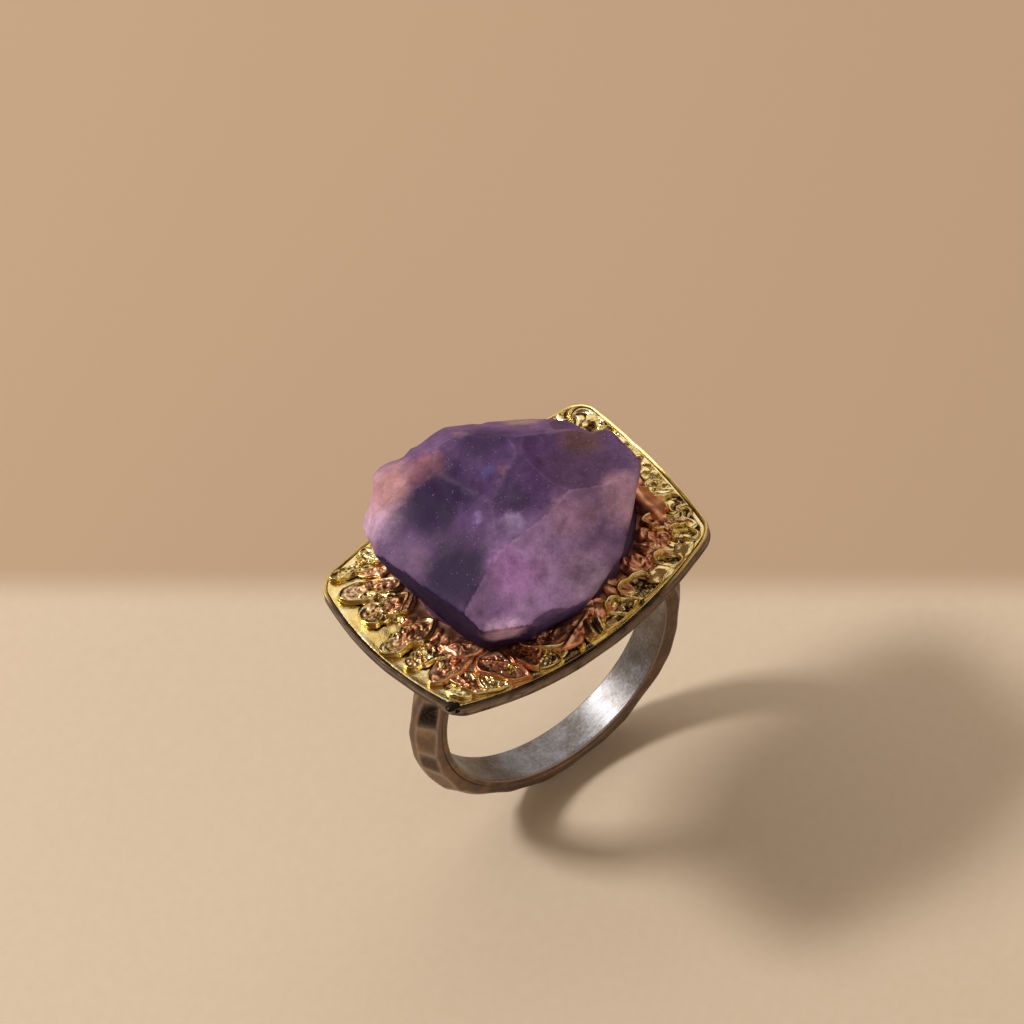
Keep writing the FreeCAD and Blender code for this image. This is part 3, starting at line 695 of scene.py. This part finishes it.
under = np.linspace(0, PLATE_RINGS - 1, UNDER_RINGS).round().astype(int)
bottom_points = top_points[under].copy()
bottom_points[..., 2] = dish(bottom_points[..., 0], BASE_TOP)
plate_points = np.concatenate([top_points, bottom_points[::-1]])
faces = loop_faces(PLATE_RINGS + UNDER_RINGS, RAYS, True)
plate = piece_from("gilded_plate", plate_points, faces, gilded,
                   soot=np.concatenate([soot, np.full((UNDER_RINGS, RAYS), 0.4)]),
                   rose=np.concatenate([plate_rose, plate_rose[under]]))
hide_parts("gold_plate")


# ---- The scraps of gilded sheet ----
# Torn scraps of gilded and rose-gilded sheet are fused round the stone: cups with rolled edges,
# smooth leaves, folded horns and melted lumps. Each is closed underneath and sits on the plate.

SCRAP_RINGS, SCRAP_STEPS = 28, 80
SLOPE, ROLL = 0.24, 0.26
LIP_START = 0.2593
# scraps left of the swap are lower and crest towards the front, the others towards the back
CREST_TO_FRONT, CREST_TO_BACK, CREST_SWAP = -128, 125, 1.5
SUNK = 0.06
# each kind of cup: the height of its floor as a share of its lip, and how dark the floor is,
# blackening and painted shade
CUPS = {"cell": (0.42, 0.5), "pitted": (0.62, 0.46), "hollow": (0.1, 0.68)}


def scrap_mesh(number):
    """Points, blackening and copperiness of one scrap, ring by ring from its middle outwards."""
    side, x, y, heading, length, width, shape, edge_copper, copper = SCRAPS[number]
    rings = SCRAP_RINGS if max(length, width) > 1.5 else SCRAP_RINGS // 2
    around = np.linspace(0, math.tau, SCRAP_STEPS, endpoint=False)[None, :]
    edge = scrap_edge(number, around)
    share = np.linspace(0.02, 1, rings)[:, None] ** 0.85
    along, across = share * edge * np.cos(around), share * edge * np.sin(around)
    turn = math.radians(heading)
    flat = np.stack([x + along * math.cos(turn) - across * math.sin(turn),
                     y + along * math.sin(turn) + across * math.cos(turn)], -1)
    local = np.stack([along, across, 0 * along], -1)
    inward = (1 - share) * edge
    dome = np.sqrt(np.clip(1 - share ** 2, 0, 1))
    rounded = (ease(inward, -0.5 * SLOPE, SLOPE) - LIP_START) / (1 - LIP_START)
    crest = CREST_TO_BACK if x > CREST_SWAP else CREST_TO_FRONT
    toward = math.radians(crest - heading + scrap_random.uniform(-25, 25))
    high_side = (1 + share * np.cos(around - toward)) / 2
    tall = scrap_random.uniform(0.55, 0.8) * min(1.0, 0.45 + width / 3)
    if x < CREST_SWAP:
        tall = 0.75 * tall
    height = tall * (0.25 + 0.75 * high_side ** 1.3) + 0.07 * grain(local, 1.0, 60 + number)
    pitting = 0.035 * grain(local, 0.24, 80 + number) + 0.045 * grain(local, 0.13, 90 + number)
    middle = ease(inward, SLOPE, SLOPE + ROLL)
    folds = 0
    for _ in range(2):
        aside, slant = scrap_random.uniform(-0.3, 0.3) * width, scrap_random.uniform(-0.35, 0.35)
        folds = folds + scrap_random.uniform(0.06, 0.2) * np.exp(
            -((across - aside - slant * along) / 0.1) ** 2)
    crease = (1 - np.abs(grain(local, 0.55, 140 + number))) ** 4
    folds = folds * 0.6 + 0.06 * crease
    # dark: blackening in the scrap's hollows and creases with painted shade there, and dark patches on
    # the lumps
    dark = np.zeros_like(along)
    inside = middle
    if shape in CUPS:
        floor, black = CUPS[shape]
        body = floor * height + folds * (shape != "hollow") + pitting * (1 + (shape == "pitted"))
        body = np.minimum(body, height + 0.05)
        level = body * middle + height * rounded * (1 - middle)
        dark = middle * (black - 6.0 * pitting - 1.5 * folds)
    elif shape == "leaf":
        level = height * dome ** 0.6 + folds * dome + 0.5 * pitting
        dark = 0.5 * (1 - ease(crease, 0.0, 0.25)) * middle
        inside = dome
    elif shape == "fold":
        ribs = np.abs(np.sin(math.pi * across / width * 2.0 + 0.7 * along))
        level = 1.2 * height * dome ** 0.6 * (0.35 + 0.65 * ribs)
        dark = 0.75 * (1 - ease(ribs, 0.1, 0.4)) * middle
    elif shape == "swirl":
        ribs = 0.5 + 0.5 * np.cos(5 * around + 9 * share)
        level = height * dome ** 0.6 * (0.45 + 0.55 * ribs)
        dark = 0.8 * (1 - ease(ribs, 0.05, 0.4))
    elif shape == "crumple":
        wrinkles = np.abs(grain(local, 0.5, 100 + number))
        level = height * dome ** 0.5 * (0.5 + 0.9 * wrinkles) + 0.4 * pitting
        dark = 0.55 * (1 - ease(wrinkles, 0.0, 0.18)) * middle
    else:
        swell = 1 + 0.35 * grain(local, 0.5, 110 + number)
        level = 0.95 * height * dome ** 0.75 * swell + 0.25 * pitting
        dark = 0.7 * ease(grain(local, 0.45, 120 + number), 0.4, 0.65)
    beyond = np.maximum(outness(flat) - FLANGE_AT[side], 0)
    flat = flat * (1 - 0.9 * beyond * FLANGE_REACH / np.linalg.norm(flat, axis=-1))[..., None]
    ground = plate_level(flat)
    top = np.concatenate([flat, (ground + np.maximum(level, 0.0) + 0.04)[..., None]], -1)
    underside = []
    for drawn_in in (0.93, 0.02):
        ring = (x, y) + drawn_in * (top[-1, :, :2] - (x, y))
        underside.append(np.concatenate([ring, (plate_level(ring) - SUNK)[:, None]], -1))
    points = np.concatenate([top, underside])
    soot = np.concatenate([np.clip(dark, 0, 1), np.full((2, SCRAP_STEPS), 0.9)])
    metal = edge_copper + (copper - edge_copper) * inside + 0 * along
    metal = np.concatenate([metal, np.full((2, SCRAP_STEPS), edge_copper)])
    metal = metal + 0.5 * (0.35 - np.clip(outness(points), -0.2, 1)) + 0.15 * grain(points, 0.8, 130)
    return points, soot, metal


def scrap_group(name, members):
    """Join a side's scraps of one metal into a piece, each scrap a closed solid of its own."""
    points, soots, roses, faces = [], [], [], []
    for number in members:
        shape, soot, rose_share = scrap_mesh(number)
        start = sum(len(done) for done in points)
        points.append(shape.reshape(-1, 3))
        soots.append(soot.ravel())
        roses.append(rose_share.ravel())
        own = loop_faces(len(shape), SCRAP_STEPS, False)
        faces += [tuple(corner + start for corner in reversed(face)) for face in own]
    return piece_from(name, np.concatenate(points), faces, gilded,
                      soot=np.concatenate(soots), rose=np.concatenate(roses))


for side in ("left", "front", "right", "back"):
    for metal, slot in (("gold", "gold_plate"), ("rose", "rose_gold")):
        members = [number for number, (own_side, *_, copper) in enumerate(SCRAPS)
                   if own_side == side and (copper > 0.5) == (metal == "rose")]
        group = scrap_group(f"{metal}_leaves_{side}", members)
        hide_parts(f"{metal}_scraps_{side}")


# ---- The cement bed ----
# Dark violet jeweller's cement fills the space under the stone. It was smoothed by a wet finger,
# so it stands out round the stone's foot as a satin roll.

BED_CROWN = 1.15
BED_RINGS, BED_STEPS = 40, 360
BED_SUNK = 0.2

# Filled epoxy cement, smoothed wet: a satin, nearly black violet that swallows the light.
cement, tree, shader, place = blank_material("epoxy_cement_smoothed")
cloud = node(tree, "TexNoise", ("Vector", place), ("Scale", 0.6), ("Detail", 4))
colour = node(tree, "Mix", (0, cloud), (6, "#2b1c31"), (7, "#5a3a58"), data_type="RGBA")
rough = node(tree, "MapRange", ("Value", cloud), (3, 0.35), (4, 0.5))
ripple = node(tree, "TexNoise", ("Vector", place), ("Scale", 1.5), ("Detail", 3))
bump = node(tree, "Bump", ("Height", ripple), ("Strength", 0.3), ("Distance", 0.1 * MM))
feed(shader, ("Base Color", colour), ("IOR", 1.55), ("Specular IOR Level", 0.25),
     ("Roughness", rough), ("Normal", bump))

bed_rays = np.linspace(0, math.tau, BED_STEPS, endpoint=False)
bed_x, bed_y = BED_HALF_LENGTH * np.cos(bed_rays), BED_HALF_WIDTH * np.sin(bed_rays)
bed_points = []
for ring in range(BED_RINGS):
    share = math.sin(math.pi / 2 * (ring + 0.5) / BED_RINGS)
    flat = np.stack([BED_X + bed_x * share, BED_Y + bed_y * share], -1)
    crown = (BED_TOP + BED_CROWN - plate_level(flat)) * (1 - share ** 6) ** 0.5
    bed_points.append(np.concatenate([flat, (plate_level(flat) + crown)[:, None]], -1))
foot = bed_points[-1].copy()
foot[:, 2] = plate_level(foot) - BED_SUNK
bed_points.append(foot)
faces = loop_faces(len(bed_points), BED_STEPS, False)
bed = piece_from("cement_roll", bed_points, [face[::-1] for face in faces], cement)
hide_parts("cement_bed")


# ---- The amethyst ----
# A broken lump of amethyst quartz, left as it split and tumbled to a frost. Flat cleavages meet
# in worn edges, with shell-shaped chips along them and one big scoop out of the right end.

STONE_MIDDLE = np.array([0.8, 0.5, BED_TOP + 2.2])
STONE_CUTS = 126
EDGE_SOFTNESS, EDGE_WEAR = 0.06, 0.07
OUT_OF_SIGHT = 60.0
# each face: which way it looks, in degrees round from +X and up, its distance in mm, and how light it
# is painted, as painted light and shade on that face
STONE_FACES = (
    (183, 82, 4.5, 0.95), (-109, 80, 4.4, 0.86), (-172, 74, 4.6, 1.0), (146, 69, 5.65, 1.12),
    (-94, 55, 5.1, 1.06), (-84, 51, 5.2, 0.97), (-12, 72, 5.1, 0.85), (30, 47, 6.8, 1.1),
    (46, 47, 6.0, 1.12), (92, 54, 6.9, 1.1), (149, 33, 8.75, 1.2), (172, -29, 7.4, 0.8),
    (-170, -8, 7.8, 0.45), (-117, -21, 7.7, 0.65), (-98, -24, 7.1, 0.8), (-71, -25, 6.7, 0.9),
    (-44, -20, 6.7, 0.9), (1, -13, 7.3, 0.85), (52, -11, 7.3, 0.9), (80, -16, 6.1, 0.9),
    (116, -10, 8.7, 1.0), (0, -90, 2.2, 0.8))
SCOOP_LOOK = (-12, 72, 5.1)
SCOOP_RADIUS, SCOOP_DEPTH = 14.0, 0.45
SCOOP_OUT, SCOOP_ACROSS = 3.6, 0.6
# how light the scoop and the shells are painted, as painted light and shade
SCOOP_PAINTED_LIGHT, SHELL_PAINTED_LIGHT = 0.82, 0.9
FRONT_FACES = (4, 5)
# wide shallow shells split off the stone: direction in degrees, radius and depth in mm
SHELLS = ((-108, 2, 3.4, 0.18), (-70, -12, 3.0, 0.14), (150, -8, 3.5, 0.14), (24, 22, 4.0, 0.2))
NICKS = 0.34
EDGE_REACH = 0.55
WALL_BELOW, RIGHT_END = 25, 80


def looking(azimuth, elevation):
    """The direction at an azimuth round from +X and an elevation, in degrees."""
    azimuth, elevation = np.radians(azimuth), np.radians(elevation)
    return np.array([np.cos(elevation) * np.cos(azimuth), np.cos(elevation) * np.sin(azimuth),
                     np.sin(elevation)])


def ball_reach(directions, middle, radius):
    """Where rays from the stone's middle enter a ball, or far away where they miss it."""
    toward = directions @ middle
    rest = toward ** 2 - middle @ middle + radius ** 2
    return np.where((rest > 0) & (toward > 0), toward - np.sqrt(np.maximum(rest, 0)), OUT_OF_SIGHT)


def stone_reach(directions, shells):
    """How far the stone's skin lies each way, which face it is, and how near it is to an edge."""
    reaches = []
    for azimuth, elevation, distance, _ in STONE_FACES:
        slope = directions @ looking(azimuth, elevation)
        reaches.append(np.where(slope > 0.02, distance / np.maximum(slope, 0.02), OUT_OF_SIGHT))
    azimuth, elevation, distance = SCOOP_LOOK
    outward = looking(azimuth, elevation)
    level = looking(azimuth, elevation - 90)
    aside = looking(azimuth + 90, 0)
    scoop = level * SCOOP_OUT + aside * SCOOP_ACROSS
    scoop = scoop + outward * (distance + SCOOP_RADIUS - SCOOP_DEPTH)
    reaches.append(ball_reach(directions, scoop, SCOOP_RADIUS))
    for azimuth, elevation, radius, depth in shells:
        at = looking(azimuth, elevation)
        skin = stone_reach(at[None], ())[0]
        reaches.append(ball_reach(directions, at * (skin[0] + radius - depth), radius))
    reaches = np.array(reaches)
    least = reaches.min(0)
    soft = least - EDGE_SOFTNESS * np.log(np.exp(-(reaches - least) / EDGE_SOFTNESS).sum(0))
    nearest = np.partition(reaches, 1, axis=0)
    return soft, reaches.argmin(0), nearest[1] - nearest[0]


block = bmesh.new()
bmesh.ops.create_cube(block, size=2)
bmesh.ops.subdivide_edges(block, edges=block.edges[:], cuts=STONE_CUTS, use_grid_fill=True)
cube, stone_faces = points_and_faces(block)
directions = np.tan(math.pi / 4 * cube)
directions /= np.linalg.norm(directions, axis=1)[:, None]
reach, face_number, edge_gap = stone_reach(directions, SHELLS)
skin = directions * reach[:, None]
# the edges are nicked where the stone was knocked about, most along the back
near_edge = np.exp(-edge_gap / EDGE_REACH)
nick = np.maximum(grain(skin, 1.5, 203), 0) + 0.5 * np.maximum(grain(skin, 0.7, 204), 0)
reach = reach - NICKS * near_edge * nick * (0.35 + 0.65 * ease(skin[:, 1], -1.0, 4.0))
reach = reach + 0.07 * grain(skin, 2.2, 200) + 0.025 * grain(skin, 0.7, 201)
reach = reach + 0.008 * grain(skin, 0.22, 202)
edge = np.exp(-edge_gap / EDGE_WEAR)
# the steep walls are painted dark, as painted shade, least at the right where light gets in
steep_shade = [(elevation < WALL_BELOW) * (0.15 if abs(azimuth) < RIGHT_END else 1.0)
         for azimuth, elevation, _, _ in STONE_FACES]
steep_shade += [0.0] + [0.15 if abs(azimuth) < RIGHT_END else 0.8 for azimuth, _, _, _ in SHELLS]
wall_share = np.array(steep_shade)[face_number]
# each face is painted lighter or darker, as painted light and shade
painted_face_lights = [face[3] for face in STONE_FACES] + [SCOOP_PAINTED_LIGHT] + [SHELL_PAINTED_LIGHT] * len(SHELLS)
painted_face_light = np.array(painted_face_lights)[face_number]
front_painted_light = np.isin(face_number, FRONT_FACES).astype(float)
stone_points = STONE_MIDDLE + directions * reach[:, None]

# Amethyst, tumbled to a frost: a dull violet skin with milky light under it, smoky and peach
# coloured zones, dark grain inside, worn pale edges and tiny sparkles.
amethyst, tree, shader, place = blank_material("amethyst_rough_frosted")
# each zone of colour, laid over the ones before: its middle in mm, its size in mm and its tint
ZONES = (
    ("smoky crown", (1.5, 1.5, 18.2), 5.0, "#533862"),
    ("lilac front", (-1.0, -5.4, 16.0), 4.4, "#9c7ba6"),
    ("violet left", (-6.3, 2.2, 16.2), 3.2, "#6c5171"),
    ("left lilac", (-6.3, 0.6, 16.2), 1.3, "#80607f"),
    ("pale end", (-6.2, 6.7, 16.4), 3.3, "#b491a6"),
    ("peach window", (-4.4, 6.4, 16.6), 2.3, "#a67778"),
    ("peach streak", (-2.2, 5.4, 17.6), 1.5, "#8d5a60"),
    ("dark heart", (-3.0, 3.0, 17.5), 3.4, "#281237"),
    ("dark foot", (-5.3, -1.8, 16.2), 3.3, "#2b1938"),
    ("violet band", (-2.4, 0.4, 17.6), 1.3, "#5a3e68"),
    ("indigo crown", (2.1, 4.6, 18.3), 2.4, "#3b2747"),
    ("pale back", (0.9, 5.9, 18.1), 0.7, "#705660"),
    ("blue glint", (0.6, 2.1, 18.0), 0.6, "#4f4474"),
    ("orange glint", (1.3, 1.5, 18.1), 0.42, "#7a545a"),
    ("smoke", (0.6, -0.3, 17.8), 1.5, "#463350"),
    ("milky lump", (-0.55, -1.8, 17.6), 1.0, "#957fa0"),
    ("small lump", (-2.0, 0.25, 17.7), 0.65, "#7f6290"),
    ("scoop", (5.4, -1.4, 17.1), 3.2, "#573b59"),
    ("brown scoop", (7.0, 1.2, 16.6), 2.0, "#68494b"),
    ("dusty back", (5.4, 6.0, 15.4), 1.6, "#8f7068"),
    ("right rim", (8.8, -2.6, 14.4), 2.2, "#b08c98"),
    ("pink middle", (2.8, -3.4, 16.9), 1.8, "#a07890"),
    ("pink right", (6.6, -4.2, 16.0), 2.2, "#bb8f98"),
    ("grey foot", (1.4, -6.6, 14.6), 1.8, "#a48c9c"),
    ("smudge", (-1.1, -4.9, 16.2), 1.0, "#6d4f70"),
    ("foot smudge", (1.2, -6.3, 15.0), 1.0, "#665060"),
    ("right smudge", (3.7, -3.9, 16.8), 0.9, "#6d4d56"),
    ("bright lilac", (-2.4, -4.2, 16.4), 1.9, "#ae78b6"),
    ("lower left", (-4.6, -5.0, 15.0), 1.4, "#7c5a92"),
)
front, wall, face, worn_edge = [node(tree, "Attribute", attribute_name=name).outputs["Fac"]
                                for name in ("front", "wall", "shade", "edge")]
stir = node(tree, "TexNoise", ("Vector", place), ("Scale", 0.7), ("Detail", 6),
            ("Roughness", 0.65)).outputs["Color"]
stirred = node(tree, "VectorMath", (0, stir), (1, (2.0, 2.0, 2.0)), (2, place),
               operation="MULTIPLY_ADD")
stirred = node(tree, "VectorMath", (0, stirred), (1, (-1.0, -1.0, -1.0)), operation="ADD")
colour = node(tree, "Mix", (0, stir), (6, "#553c5c"), (7, "#6d4f72"), data_type="RGBA")


def blot(ground, middle, size, tint):
    """Lay a soft-edged ball of one tint, as big across as twice its size in mm, over the colours."""
    away = node(tree, "VectorMath", (0, stirred), (1, middle), operation="DISTANCE")
    share = node(tree, "MapRange", ("Value", away), (1, size * 0.35), (2, size * 1.15), (3, 0.95),
                 (4, 0), interpolation_type="SMOOTHSTEP")
    return node(tree, "Mix", (0, share), (6, ground), (7, tint), data_type="RGBA")


for _, middle, size, tint in ZONES:
    colour = blot(colour, middle, size, tint)
# painted light and shade: the front faces are painted lighter where they catch more light; the walls,
# and the foot on the left, are painted dark as painted shade
front_lit = node(tree, "Math", (0, front), (1, 0.36), operation="MULTIPLY")
lilac = node(tree, "Mix", (0, stir), (6, "#9a76a0"), (7, "#b08eae"), data_type="RGBA")
colour = node(tree, "Mix", (0, front_lit), (6, colour), (7, lilac), data_type="RGBA")
# painted shade on the steep walls
walled = node(tree, "Math", (0, wall), (1, 0.72), operation="MULTIPLY")
colour = node(tree, "Mix", (0, walled), (6, colour), (7, "#43336e"), data_type="RGBA")
apart = node(tree, "SeparateXYZ", (0, stirred))
leftward = node(tree, "MapRange", ("Value", apart.outputs["X"]), (1, 0.0), (2, 3.0), (3, 0.85),
                (4, 0.3))
# painted shade: darker towards the bottom of the stone, most on the left, under its overhang
low = node(tree, "MapRange", ("Value", apart.outputs["Z"]), (1, 12.2), (2, 14.2), (3, leftward),
           (4, 0))
colour = node(tree, "Mix", (0, low), (6, colour), (7, "#2f1d4a"), data_type="RGBA")
# a painted highlight: a pale pink glow on the ledge at the stone's front left foot
colour = blot(colour, (-5.0, -6.1, 14.0), 1.6, "#eec4ea")
mottle = node(tree, "TexNoise", ("Vector", place), ("Scale", 1.1), ("Detail", 8), ("Roughness", 0.65))
# the frost is a grain of 0.03 mm, drawn at 0.12 mm so that it shows
frost = node(tree, "TexNoise", ("Vector", place), ("Scale", 8), ("Detail", 5), ("Roughness", 0.7))
grainy = node(tree, "Mix", (0, 0.35), (2, mottle), (3, frost))
shade = node(tree, "MapRange", ("Value", grainy), (1, 0.3), (2, 0.7), (3, 0.56), (4, 1.62))
colour = node(tree, "VectorMath", (0, colour), ("Scale", shade), operation="SCALE")
# each face's painted light and shade scales the colour
colour = node(tree, "VectorMath", (0, colour), ("Scale", face), operation="SCALE")
bright = node(tree, "Math", (0, worn_edge), (1, mottle), operation="MULTIPLY")
bright = node(tree, "MapRange", ("Value", bright), (1, 0.2), (2, 0.7), (4, 0.13))
colour = node(tree, "Mix", (0, bright), (6, colour), (7, "#b39ab5"), data_type="RGBA")
# sparkles: a tiny bright grain in every other cell of 0.2 mm
cells = node(tree, "TexVoronoi", ("Vector", place), ("Scale", 5))
chosen = node(tree, "MapRange", ("Value", cells.outputs["Color"]), (1, 0.52), (2, 0.62), (4, 0.65))
spark = node(tree, "MapRange", ("Value", cells.outputs["Distance"]), (1, 0.06),
             (2, 0.15), (3, chosen), (4, 0))
colour = node(tree, "Mix", (0, spark), (6, colour), (7, "#d8cbdc"), data_type="RGBA")
rough = node(tree, "MapRange", ("Value", mottle), (1, 0.3), (2, 0.7), (3, 0.42), (4, 0.6))
glossy = node(tree, "Mix", (0, wall), (2, rough), (3, 0.8))
bump = node(tree, "Bump", ("Height", frost), ("Strength", 0.3), ("Distance", 0.08 * MM))
feed(shader, ("Base Color", colour), ("IOR", 1.544), ("Specular IOR Level", 0.09),
     ("Subsurface Weight", 0.25), ("Subsurface Radius", (1.0, 0.6, 1.0)),
     ("Subsurface Scale", 0.6 * MM), ("Roughness", glossy), ("Normal", bump))

stone = piece_from("amethyst_rough", stone_points, stone_faces, amethyst, edge=edge,
                   wall=wall_share, shade=painted_face_light, front=front_painted_light)
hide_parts("amethyst")


# ---- The rose claw ----
# One scrap of rose-gilded sheet stands on the plate at the right and laps the stone like a claw.
# It was fused by its foot and then pushed over against the stone.

CLAW_FOOT = (8.6, -2.9)
CLAW_TIP = (8.0, -1.9, 13.0)
CLAW_WIDTH, CLAW_THICKNESS, CLAW_DENTS = 1.5, 0.75, 0.11
CLAW_ROWS, CLAW_STEPS = 22, 40
angles = np.linspace(0, math.tau, CLAW_STEPS, endpoint=False)
ground = plate_level(np.array(CLAW_FOOT)) - 0.1
claw_points = []
for up in np.linspace(0, 1, CLAW_ROWS):
    bend = math.sin(math.pi / 2 * up)
    middle_x = CLAW_FOOT[0] + (CLAW_TIP[0] - CLAW_FOOT[0]) * up ** 1.4
    middle_y = CLAW_FOOT[1] + (CLAW_TIP[1] - CLAW_FOOT[1]) * up
    height = ground + (CLAW_TIP[2] - ground) * bend
    wide = CLAW_WIDTH * (1 - up ** 2) + 0.03
    thick = CLAW_THICKNESS * (1 - up) + 0.12 * (1 - up ** 6) + 0.01
    ring = np.stack([middle_x + thick * np.cos(angles), middle_y + wide * np.sin(angles),
                     np.full(CLAW_STEPS, height)], -1)
    claw_points.append(ring)
claw_points = np.array(claw_points)
claw_points[1:-1] += CLAW_DENTS * grain(claw_points[1:-1], 0.6, 150)[..., None]
claw = piece_from("rose_claw_lapped", claw_points, loop_faces(CLAW_ROWS, CLAW_STEPS, False), gilded,
                  rose=np.ones((CLAW_ROWS, CLAW_STEPS)), soot=0.15 + 0 * claw_points[..., 0])
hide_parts("rose_claw")


# ---- Floor, lamps and camera ----
# A sheet of pale sand-coloured paper lies under the ring. Daylight falls from the back left and
# two large cards soften it, as in a studio.

paper, tree, shader, place = blank_material("seamless_paper_sand")
fibre = node(tree, "TexNoise", ("Vector", place), ("Scale", 1.5), ("Detail", 4))
tint = node(tree, "Mix", (0, fibre), (6, "#d4bfa3"), (7, "#dbc7ad"), data_type="RGBA")
# the sheet is painted darker behind the ring, as soft painted shade
behind = node(tree, "VectorMath", (0, place), (1, (0.68, 0.733, 0)), operation="DOT_PRODUCT")
shaded = node(tree, "MapRange", ("Value", behind), (1, 11.6), (2, 15.0),
              interpolation_type="SMOOTHSTEP")
paper_tone = node(tree, "Mix", (0, shaded), (6, tint), (7, "#bda184"), data_type="RGBA")
bump = node(tree, "Bump", ("Height", fibre), ("Strength", 0.1), ("Distance", 0.1 * MM))
feed(shader, ("Base Color", paper_tone), ("Roughness", 0.9), ("Specular IOR Level", 0.1),
     ("Normal", bump))
FLOOR_HALF = 900.0
floor_mesh = bpy.data.meshes.new("paper_floor")
floor_z = min(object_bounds()[0].z / MM, cad_low.z / MM)
corners = ((-FLOOR_HALF, -FLOOR_HALF), (FLOOR_HALF, -FLOOR_HALF), (FLOOR_HALF, FLOOR_HALF),
           (-FLOOR_HALF, FLOOR_HALF))
floor_mesh.from_pydata([(x * MM, y * MM, floor_z * MM) for x, y in corners], [], [(0, 1, 2, 3)])
floor_mesh.materials.append(paper)
floor = bpy.data.objects.new("paper_floor", floor_mesh)
bpy.context.scene.collection.objects.link(floor)
floor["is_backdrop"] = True

# each lamp: its name, direction in degrees round from +X and up, distance, width and height in mm,
# and power in watts
LAMPS = (
    ("window", 130, 48, 450, 80, 80, 1.3),
    ("card_behind", 70, 46, 420, 800, 480, 1.18),
    ("card_front", -70, 34, 420, 700, 300, 0.46),
)
for name, azimuth, elevation, distance, width, height, power in LAMPS:
    lamp = bpy.data.lights.new(name, "AREA")
    lamp.shape = "RECTANGLE"
    lamp.size = width * MM
    lamp.size_y = height * MM
    lamp.energy = power
    shining = bpy.data.objects.new(name, lamp)
    away = Vector(looking(azimuth, elevation))
    shining.location = away * distance * MM
    shining.rotation_euler = away.to_track_quat("Z", "Y").to_euler()
    bpy.context.scene.collection.objects.link(shining)

world = bpy.data.worlds.new("studio")
world.use_nodes = True
feed(world.node_tree.nodes["Background"], ("Color", "#e8bb8e"), ("Strength", 0.2))
bpy.context.scene.world = world

CAMERA_AZIMUTH, CAMERA_ELEVATION, CAMERA_ROLL = -24.68, 53.04, -14.7
CAMERA_DISTANCE = 1500.0
CAMERA_AIM = Vector((3.62, 6.95, 5.89))
LENS = 821.9
azimuth, elevation = math.radians(CAMERA_AZIMUTH), math.radians(CAMERA_ELEVATION)
back = Vector((math.sin(azimuth) * math.cos(elevation), -math.cos(azimuth) * math.cos(elevation),
               math.sin(elevation)))
right = Vector((math.cos(azimuth), math.sin(azimuth), 0))
facing = Matrix((right, back.cross(right), back)).transposed()
camera_data = bpy.data.cameras.new("studio_camera")
camera_data.lens = LENS
camera_data.clip_start = 0.01
camera = bpy.data.objects.new("studio_camera", camera_data)
turned = facing @ Matrix.Rotation(math.radians(CAMERA_ROLL), 3, "Z")
camera.matrix_world = Matrix.Translation((CAMERA_AIM + back * CAMERA_DISTANCE) * MM) @ turned.to_4x4()
bpy.context.scene.collection.objects.link(camera)
bpy.context.scene.camera = camera
bpy.context.scene.view_settings.view_transform = "Standard"

low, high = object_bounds()
